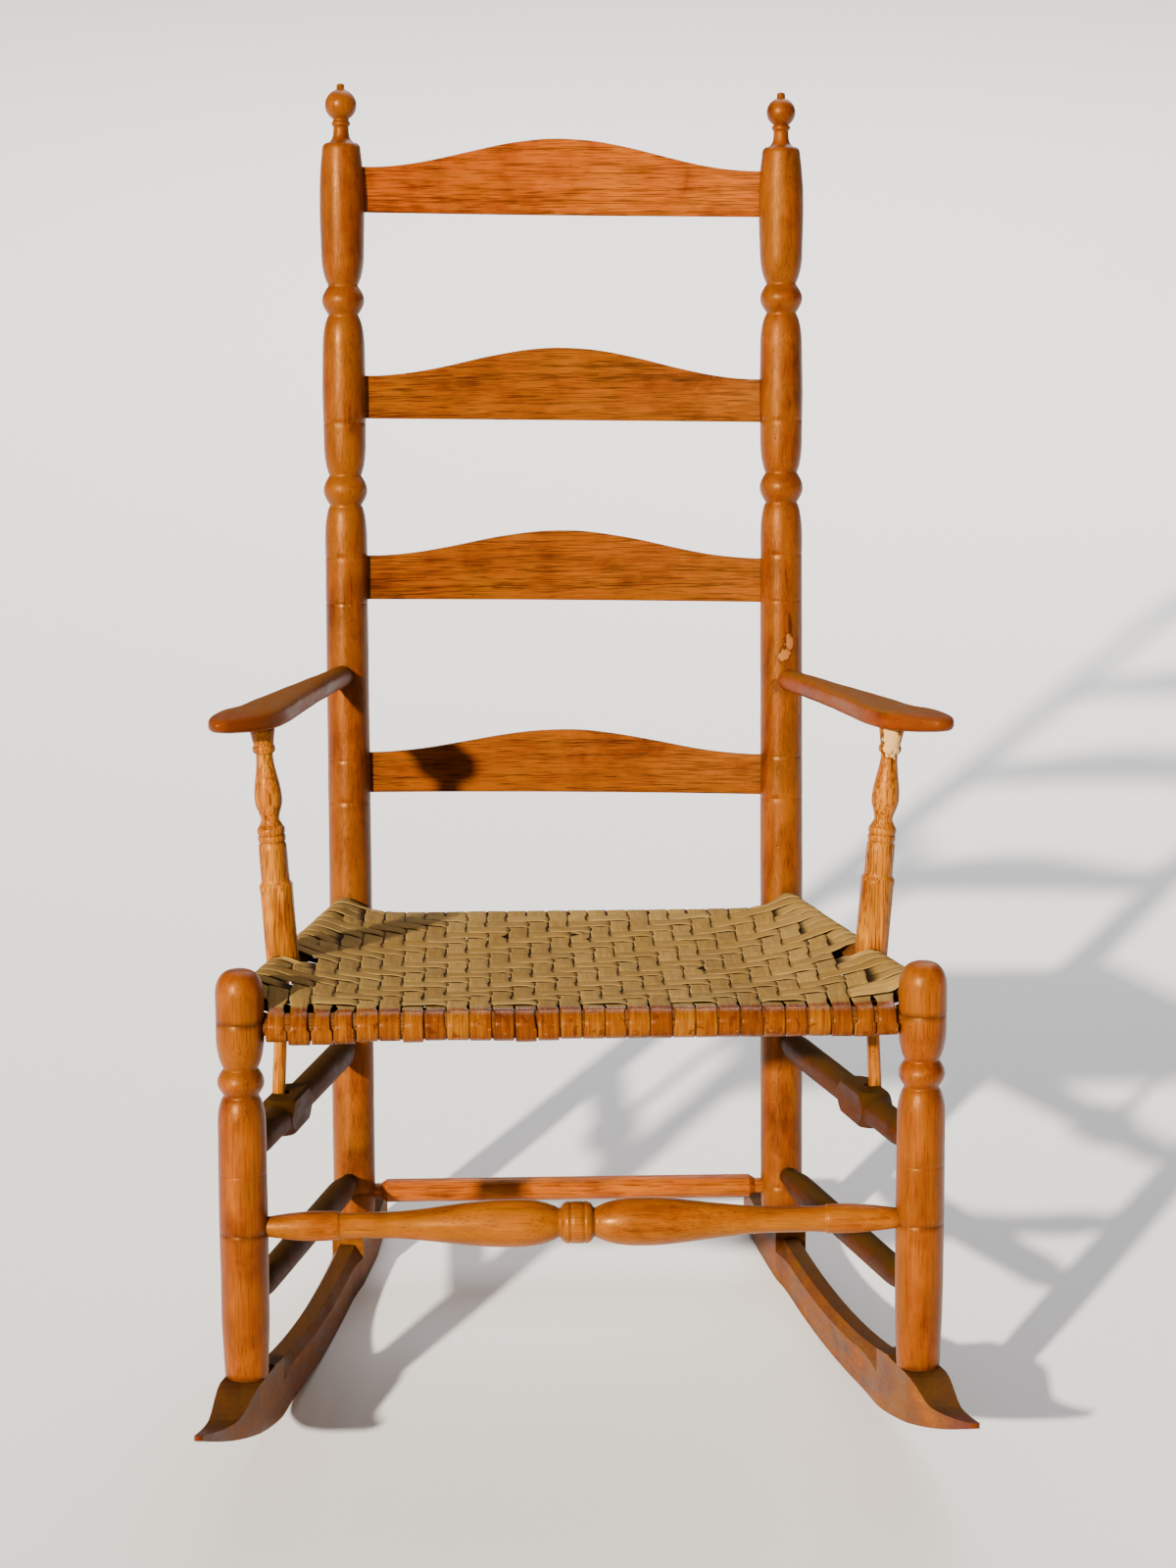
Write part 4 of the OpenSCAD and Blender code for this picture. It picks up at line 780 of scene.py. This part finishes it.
def arm_support(side):
    """A support with an eight-sided foot, a shaft with two beads, a vase and a collar under the arm."""
    foot = support_foot(side)
    front = arm_ends(side)[1]
    length = (front - foot).length - ARM_T / 2 - 0.3
    seed = 5 if side == LEFT else 11
    # The foot's eight faces were cut by eye, so no two are as wide or as deep.
    flats = [(math.radians(45 * k + 3 * math.sin(seed * k)),
              FOOT_R * (0.925 + 0.025 * math.sin(seed + 3.1 * k))) for k in range(8)]

    def shaved(r, z, a):
        """The radius there once the foot's faces have been cut."""
        if z > OCT_H + 1.5:
            return r
        edge = min(deep / max(0.2, math.cos(a - turn)) for turn, deep in flats)
        cut = min(FOOT_R, edge)
        # Each face runs out in a shallow scoop where the round part starts.
        return r + (cut - r) * eased((OCT_H + 1.5 - z + 2.5 * math.cos(a * 4 + seed)) / 4)

    outline = [(TIP, -TONGUE), (FOOT_R, -TONGUE), (FOOT_R, OCT_H - 6), (FOOT_R, OCT_H - 2),
               (FOOT_R - 0.6, OCT_H - 0.4), (SHAFT_R + 0.6, OCT_H + 1.6), (SHAFT_R, OCT_H + 3),
               (SHAFT_R, OCT_H + 20), (SHAFT_R - 0.2, length - 101), (SHAFT_R - 1.4, length - 99)]
    outline += bead(length - 95.5, SHAFT_R - 1.2, SHAFT_R - 0.3, 2.8)
    outline += bead(length - 89, SHAFT_R - 1.4, SHAFT_R - 0.2, 3.2)
    outline += [(VASE_NECK_R, length - 80)] + ease(VASE_NECK_R, length - 80, VASE_R, length - 62, 8)
    outline += ease(VASE_R, length - 62, VASE_NECK_R - 0.6, length - 23, 12)
    outline += bead(length - 18.5, VASE_NECK_R + 0.8, VASE_NECK_R + 2, 3)
    outline += [(VASE_NECK_R + 0.8, length - 14.5), (VASE_NECK_R + 1.4, length - 11),
                (VASE_NECK_R + 3.2, length), (TIP, length)]
    stick = turned(foot, front, outline, sides=64, hand=0.3, shape=shaved)
    # The pin goes on through the seat rail's outer half into the stretcher's block.
    pin_top = foot + (foot - front).normalized() * (TONGUE - 4)
    pin_end = Vector((foot.x + pick(PIN_OUT, side), SUPPORT_Y, PIN_END_Z))
    reach = (pin_top - pin_end).length
    outline = [(TIP, 0), (5.4, 0.2), (5.8, 3), (5.9, reach - 3), (6.4, reach), (TIP, reach + 0.5)]
    points, faces = joined(stick, turned(pin_end, pin_top, outline, sides=20, hand=0.5))
    points = [Vector((p.x * side, p.y, p.z)) for p in points]
    name = "arm_support_" + side_name(side)
    piece("turned_" + name, points, faces, support_finish, name)


for side in (LEFT, RIGHT):
    arm(side)
    arm_support(side)

# ---- Splint seat: a twill of flat strips, two over and two under, round all four rails

WARPS, WEFTS = 28, 18
# The weave stops this far short of the posts.
POST_GAP = 0.7
WARP_PITCH = (FRONT_W - 2 * FRONT_R - 1) / WARPS
WEFT_PITCH = (SEAT_D - FRONT_R - REAR_R - 2 * POST_GAP) / WEFTS
# A strip's thickness, how far it weaves up and down, and the radius of its folds round the rails.
SPLINT_T, WAVE, WRAP_R = 0.9, 0.95, 12.35
# Over how many millimetres a strip climbs from under the next to over it, and how much flatter the
# weave is underneath.
CLIMB_RUN, UNDER_WAVE = 2.4, 0.8
# How far the surface lies above or below the front rail's middle, how wide its dished sides are, and
# how far its middle has sagged.
OVER, DISH, SAG = 12.2, 120, 6
# Strips at the front corners were cut narrow, so wide dark gaps show between their folds.
NARROW = {0: 0.8, 1: 0.78, 2: 0.8, 3: 0.9, 25: 0.92, 26: 0.84, 27: 0.84}
# Folds that stand off the front rail, in mm: slack ones hang lower than their neighbours.
SLACK = {1: 3.0, 2: 2.8, 3: 2.0, 6: 1.6, 9: 0.8, 10: 1.2, 11: 2.4, 12: 1.4, 25: 0.8, 26: 1.4}
# Nicks, where a splint has torn: strip, place along it, side, depth and length in mm.
NICKS = {
    ("warp", 14): [(300, LEFT, 7.5, 9), (281, RIGHT, 3, 6)], ("warp", 15): [(268, LEFT, 4, 7)],
    ("weft", 13): [(4, LEFT, 5, 9)], ("warp", 10): [(293, RIGHT, 6, 8)],
    ("warp", 19): [(160, RIGHT, 6.5, 9)], ("warp", 20): [(153, LEFT, 4, 7)],
    ("weft", 6): [(104, LEFT, 5, 7)],
    ("warp", 5): [(86, RIGHT, 3, 8)], ("weft", 3): [(-122, RIGHT, 3, 9)],
}
# The strips beside each arm support were trimmed to let it through.
AROUND = ((5, RIGHT, 9.0), (7, LEFT, 3.2))
chance = random.Random(11)


def warp_x(i):
    """How far right a front-to-back strip lies."""
    return (i - (WARPS - 1) / 2) * WARP_PITCH


def weft_y(j):
    """How far back a side-to-side strip lies."""
    return FRONT_R + POST_GAP + (j + 0.5) * WEFT_PITCH


def climb(x, y):
    """How far the weave rises towards the side rails, which are higher than the front and rear ones."""
    near = max(0.0, 1 - (side_x(y) - abs(x)) / DISH)
    ends = eased(y / 50) * (0.3 + 0.7 * eased((SEAT_D - y) / 45))
    return (SIDE_RAIL_Z - RAIL_Z) * near ** 2 * ends


def seat_top(x, y):
    """The height of the upper layer's middle, which has sagged."""
    middle = 1 - (2 * y / SEAT_D - 1) ** 2
    return RAIL_Z + OVER + climb(x, y) - SAG * max(0.0, middle) * (1 - (2 * x / FRONT_W) ** 2)


def seat_under(x, y):
    """The height of the lower layer's middle."""
    return RAIL_Z - OVER + climb(x, y)


def on_top(i, j):
    """Whether that warp lies over that weft: two over and two under, a step on in each row."""
    return (i - j) % 4 < 2


def is_long(i):
    """Whether a warp fits between the rear posts and goes round the rear rail too."""
    return abs(warp_x(i)) + 9 < REAR_W / 2 - REAR_R


def crossings(i):
    """How many wefts a warp crosses before it meets the side rail, which slants inward."""
    if is_long(i):
        return WEFTS
    return max(1, sum(abs(warp_x(i)) + 8.8 < side_x(weft_y(j) + 8.8) - 12.2 for j in range(WEFTS)))


def densely(path, closed, step=2.0):
    """Points every step along a path of corners."""
    out = []
    for a, b in zip(path, path[1:] + path[:1] if closed else path[1:]):
        n = max(1, round(math.dist(a, b) / step))
        out += [(a[0] + (b[0] - a[0]) * k / n, a[1] + (b[1] - a[1]) * k / n) for k in range(n)]
    return out if closed else out + [path[-1]]


def softly(path, closed, rounds=6):
    """Eases a path's corners, as a stiff splint does."""
    for _ in range(rounds):
        n = len(path)
        path = [path[k] if not closed and k in (0, n - 1) else
                tuple((path[k - 1][c] + 2 * path[k][c] + path[(k + 1) % n][c]) / 4 for c in (0, 1))
                for k in range(n)]
    return path


def evenly(path, closed, count):
    """The same path with a set number of points, evenly spaced."""
    line = path + path[:1] if closed else path
    lengths = [0.0]
    for a, b in zip(line, line[1:]):
        lengths.append(lengths[-1] + math.dist(a, b))
    out, k = [], 0
    for m in range(count):
        goal = lengths[-1] * m / (count if closed else count - 1)
        while k < len(line) - 2 and lengths[k + 1] < goal:
            k += 1
        f = (goal - lengths[k]) / (lengths[k + 1] - lengths[k] or 1)
        out.append(tuple(line[k][c] + (line[k + 1][c] - line[k][c]) * f for c in (0, 1)))
    return out


def bend(centre, radius, start, end, count=10):
    """Points of an arc, from one angle to another in degrees."""
    turn = [math.radians(start + (end - start) * k / count) for k in range(count + 1)]
    return [(centre[0] + radius * math.cos(t), centre[1] + radius * math.sin(t)) for t in turn]


def warp_thread(i, across, slack):
    """One thread of a warp, as points (y, z) from the back over the top, round the front and under."""
    x = warp_x(i) + across
    top, under = [], []
    for j in range(crossings(i)):
        for end in (-1, 1):
            y = weft_y(j) + end * (WEFT_PITCH - CLIMB_RUN) / 2
            d = WAVE if on_top(i, j) else -WAVE
            top.append((y, seat_top(x, y) + d))
            under.append((y, seat_under(x, y) - d * UNDER_WAVE))
    front = bend((-slack * 0.5, RAIL_Z - slack * 0.4), WRAP_R + slack * 0.5, 90, 270)
    if is_long(i):
        return bend((SEAT_D, RAIL_Z), WRAP_R, -90, 90) + top[::-1] + front + under, True
    return top[::-1] + front + under, False


def weft_halves(j, across, slack):
    """One thread of a weft: points (x, z) over the top, round the right rail, underneath and round
    the left rail."""
    y = weft_y(j) + across
    top, under = [], []
    for i in [i for i in range(WARPS) if j < crossings(i)]:
        for end in (-1, 1):
            x = warp_x(i) + end * (WARP_PITCH - CLIMB_RUN) / 2
            d = -WAVE if on_top(i, j) else WAVE
            top.append((x, seat_top(x, y) + d))
            under.append((x, seat_under(x, y) - d * UNDER_WAVE))
    reach = side_x(y)
    right = bend((reach, SIDE_RAIL_Z), WRAP_R + slack * 0.5, 108, -95)
    left = bend((-reach, SIDE_RAIL_Z), WRAP_R + slack * 0.5, 275, 72)
    return top, right, under[::-1], left


def weft_thread(j, across, slack):
    """One thread of a weft that goes all the way round."""
    return sum(weft_halves(j, across, slack), []), True


def weft_over(j, across, slack):
    """A weft that meets an arm support ends beside it: this is its length on top."""
    return weft_halves(j, across, slack)[0], False


def weft_below(j, across, slack):
    """The same weft's length underneath."""
    return weft_halves(j, across, slack)[2], False


# A strip has a row of points about every so many millimetres.
ROW_STEP = 2.2
# How thick a strip's shaved edge is, as a part of its middle, and where across a strip its six
# threads lie, from its left edge at -1 to its right edge at 1.
THIN_EDGE, THREADS = 0.35, (-1, -0.86, -0.3, 0.3, 0.86, 1)


def ribbon(threads, closed, thick):
    """A strip with thin rounded edges from threads that lie side by side: its points and faces, and
    how far each point is a rim and is sunk. A thread is a list of (point, outward, sunk)."""
    count, wide = len(threads[0]), len(threads)
    over, back = list(range(wide)), list(reversed(range(wide)))
    edge = [THIN_EDGE if m in (0, wide - 1) else 1.0 for m in over]
    points = []
    for k in range(count):
        points += [threads[m][k][0] + threads[m][k][1] * thick / 2 * edge[m] for m in over]
        points += [threads[m][k][0] - threads[m][k][1] * thick / 2 * edge[m] for m in back]
    rim = [1.0 if m in (0, wide - 1) else 0.0 for m in over + back] * count
    sunk = [threads[m][k][2] for k in range(count) for m in over + back]
    return points, skin(count, 2 * wide, closed), rim, sunk


def crossed(kind, at, y):
    """Whether a strip is among the crossings there, and not on its way round a rail."""
    if kind == "warp":
        return FRONT_R < at < SEAT_D - REAR_R
    return abs(at) < side_x(y) - WRAP_R - 2


def side_trim(kind, number, place, at, top):
    """How much narrower a strip is on one side: dark slots open beside a float where it meets a
    strip that dives under, and a few splints have torn."""
    trim = 0.25
    if kind == "warp":
        cross = (at - FRONT_R - POST_GAP) / WEFT_PITCH - 0.5
        here, beside = on_top(number, round(cross)), on_top(number + place, round(cross))
    else:
        cross = at / WARP_PITCH + (WARPS - 1) / 2
        here, beside = not on_top(round(cross), number), not on_top(round(cross), number + place)
    if here and not beside:
        slot = 1 - (1.7 * abs(cross - round(cross))) ** 2
        loose = noise.noise(Vector((number * 3.7, round(cross) * 5.3, place)))
        trim += slot * max(0.2, 1.5 + 1.6 * loose) * (1 if top else 0.2)
    if kind == "warp" and top:
        # The front corners' strips were cut narrow over the rail.
        trim += (1 - NARROW.get(number, 1)) * WARP_PITCH / 2 * (1 - eased((at - 12) / 14))
    if top:
        for spot, torn, deep, long in NICKS.get((kind, number), ()):
            if torn == place:
                trim += deep * max(0.0, 1 - abs(at - spot) / long)
        for strip, cut, deep in AROUND:
            if kind == "weft" and strip == number and cut == place:
                near = abs(abs(at) - side_x(SUPPORT_Y) - 2)
                trim += deep * eased((23 - near) / 7)
    return trim


def threads_of(kind, number, lay, width, slack):
    """Six threads across a strip, with the strip's own small wander, cup and twist."""
    first, closed = lay(number, 0, 0)
    half = width / 2
    seed = Vector((number * 7.3, 31 if kind == "warp" else 77, 5))
    count = max(24, round(sum(math.dist(a, b) for a, b in zip(first, first[1:])) / ROW_STEP))
    out = []
    for place in THREADS:
        path = evenly(softly(densely(lay(number, place * half, slack)[0], closed), closed), closed, count)
        thread = []
        for k, (a, z) in enumerate(path):
            before = path[k - 1] if k or closed else path[k]
            after = path[(k + 1) % count] if k < count - 1 or closed else path[k]
            run = Vector((after[0] - before[0], after[1] - before[1])).normalized()
            # The path runs anticlockwise for warps and clockwise for wefts, so outward is on one side.
            away = Vector((run.y, -run.x)) if kind == "warp" else Vector((-run.y, run.x))
            if lay is weft_below:
                away = -away
            spot = Vector((a * 0.021, z * 0.021, 0)) + seed
            wander = 0.55 * noise.noise(spot * 1.7)
            lift = 0.3 * noise.noise(spot * 4 + Vector((0, 7, 0)))
            lift += 0.2 * noise.noise(spot * 11 + Vector((place, 7, 3)))
            curl = 0.3 * place * noise.noise(spot * 2.9 + Vector((0, 0, 13)))
            trim = side_trim(kind, number, LEFT if place < 0 else RIGHT, a, z > RAIL_Z)
            # A torn or trimmed side draws in evenly from its edge towards the strip's middle.
            drawn_in = trim * min(1.0, (1 + abs(place)) / 2)
            side = place * half - math.copysign(drawn_in, place) + wander
            if kind == "warp":
                point, normal = Vector((warp_x(number) + side, a, z)), Vector((0, away.x, away.y))
            else:
                point, normal = Vector((a, weft_y(number) + side, z)), Vector((away.x, 0, away.y))
            if not crossed(kind, a, point.y):
                above = WAVE
            elif z > RAIL_Z:
                above = z - seat_top(point.x, point.y)
            else:
                above = seat_under(point.x, point.y) - z
            thread.append((point + normal * (lift + curl), normal, eased(0.5 - above / WAVE)))
        out.append(thread)
    return out, closed


def woven(kind, count, pitch, finish, name, node):
    """One layer of strips as one piece, each with its own width, slack and tone."""
    points, faces, rims, tones, depths = [], [], [], [], []
    for number in range(count):
        width = pitch - 0.5 + chance.uniform(-0.45, 0.2)
        slack = SLACK.get(number, 0.3) if kind == "warp" else chance.uniform(0.0, 0.8)
        tone = chance.uniform(0.3, 0.7)
        lays = [warp_thread] if kind == "warp" else [weft_thread]
        if kind == "weft" and abs(weft_y(number) - SUPPORT_Y) < WEFT_PITCH / 2:
            lays = [weft_over, weft_below]
        for lay in lays:
            threads, closed = threads_of(kind, number, lay, width, slack)
            new_points, new_faces, rim, sunk = ribbon(threads, closed, SPLINT_T)
            faces += [tuple(v + len(points) for v in face) for face in new_faces]
            points += new_points
            rims += rim
            depths += sunk
            tones += [tone] * len(new_points)
    tints = {"tone": tones, "rim": rims, "sunk": depths}
    piece(name, points, faces, finish, node, tints)


woven("warp", WARPS, WARP_PITCH, warp_finish, "woven_warp_splints", "seat_warp")
woven("weft", WEFTS, WEFT_PITCH, weft_finish, "woven_weft_splints", "seat_weft")

# ---- Camera, from where the photograph was taken

# The photograph is this many pixels tall, and its lens is as long as that many of them.
FRAME_TALL, FOCAL_LENGTH = 1600, 3700
FILM = 36
CAMERA_AT = (-106.0, -2891.3, 1064.6)

eye = bpy.data.cameras.new("camera")
camera = bpy.data.objects.new("camera", eye)
bpy.context.scene.collection.objects.link(camera)
bpy.context.scene.camera = camera
look_right = ROLL_BACK @ Vector((0.99923, -0.03899, -0.00311))
look_up = ROLL_BACK @ Vector((0.00984, 0.17345, 0.98479))
look_back = look_right.cross(look_up)
spot = at_rest(CAMERA_AT)
camera.matrix_world = Matrix((
    (look_right.x, look_up.x, look_back.x, spot.x),
    (look_right.y, look_up.y, look_back.y, spot.y),
    (look_right.z, look_up.z, look_back.z, spot.z),
    (0, 0, 0, 1),
))
eye.sensor_width = FILM
eye.lens = FILM * FOCAL_LENGTH / FRAME_TALL
eye.clip_end = 50

# ---- Floor and soft studio light

FLOOR_HALF = 9
floor_mesh = bpy.data.meshes.new("studio_floor")
floor_corners = [(FLOOR_HALF * x, FLOOR_HALF * y, 0) for x, y in ((-1, -1), (1, -1), (1, 1), (-1, 1))]
floor_mesh.from_pydata(floor_corners, [], [(0, 1, 2, 3)])
floor = bpy.data.objects.new("studio_floor", floor_mesh)
bpy.context.scene.collection.objects.link(floor)
floor_finish, floor_tree = bare_finish("pale_matt_floor")
floor_body = add(floor_tree, "BsdfPrincipled", {
    "Base Color": "#E9EBF0", "Roughness": 0.9, "Specular IOR Level": 0.2,
})
add(floor_tree, "OutputMaterial", {"Surface": floor_body})
floor_mesh.materials.append(floor_finish)


def lamp(name, place, aim, size, power, code):
    """A square soft box at one place that faces another, with its size in metres."""
    light = bpy.data.lights.new(name, "AREA")
    light.shape = "SQUARE"
    light.size = size
    light.energy = power
    light.color = hexed(code)[:3]
    made = bpy.data.objects.new(name, light)
    bpy.context.scene.collection.objects.link(made)
    made.location = place
    made.rotation_euler = (Vector(aim) - Vector(place)).to_track_quat("-Z", "Y").to_euler()


# The key stands low to the left of the camera, where the shadows of the arms say that it was. It is
# so far off that the floor is lit alike all round the chair.
KEY_LEFT, KEY_UP = math.radians(31), math.radians(15.5)
key = bpy.data.lights.new("key_light", "SUN")
key.energy = 11.5
key.angle = math.radians(1.9)
key.color = hexed("#FFF1DC")[:3]
key_stand = bpy.data.objects.new("key_light", key)
bpy.context.scene.collection.objects.link(key_stand)
key_from = ROLL_BACK @ Vector((-math.sin(KEY_LEFT), -math.cos(KEY_LEFT), math.tan(KEY_UP)))
key_stand.rotation_euler = key_from.to_track_quat("Z", "Y").to_euler()
lamp("top_soft_box", (0.3, 2.6, 3.8), (0, 2.3, 0), 3.0, 80, "#FFF8EE")
lamp("floor_soft_box", (0.6, 5.2, 4.2), (0.6, 5.2, 0), 4.0, 260, "#FFFFFF")
lamp("back_soft_box", (1.6, 3.0, 2.2), (0, 0, 0.5), 1.4, 18, "#FFFFFF")

world = bpy.data.worlds.new("studio")
bpy.context.scene.world = world
world.use_nodes = True
# The backdrop is pale where it is seen, and gives the chair little fill, so that its shadows stay deep.
FILL, SEEN_MORE = 0.17, 1.1
backdrop = world.node_tree.nodes["Background"]
backdrop.inputs["Color"].default_value = hexed("#FFFCF8")
seen = mixture(world.node_tree, (add(world.node_tree, "LightPath", out="Is Camera Ray"), SEEN_MORE))
seen = add(world.node_tree, "Math", {0: seen, 1: FILL}, operation="ADD")
world.node_tree.links.new(seen, backdrop.inputs["Strength"])
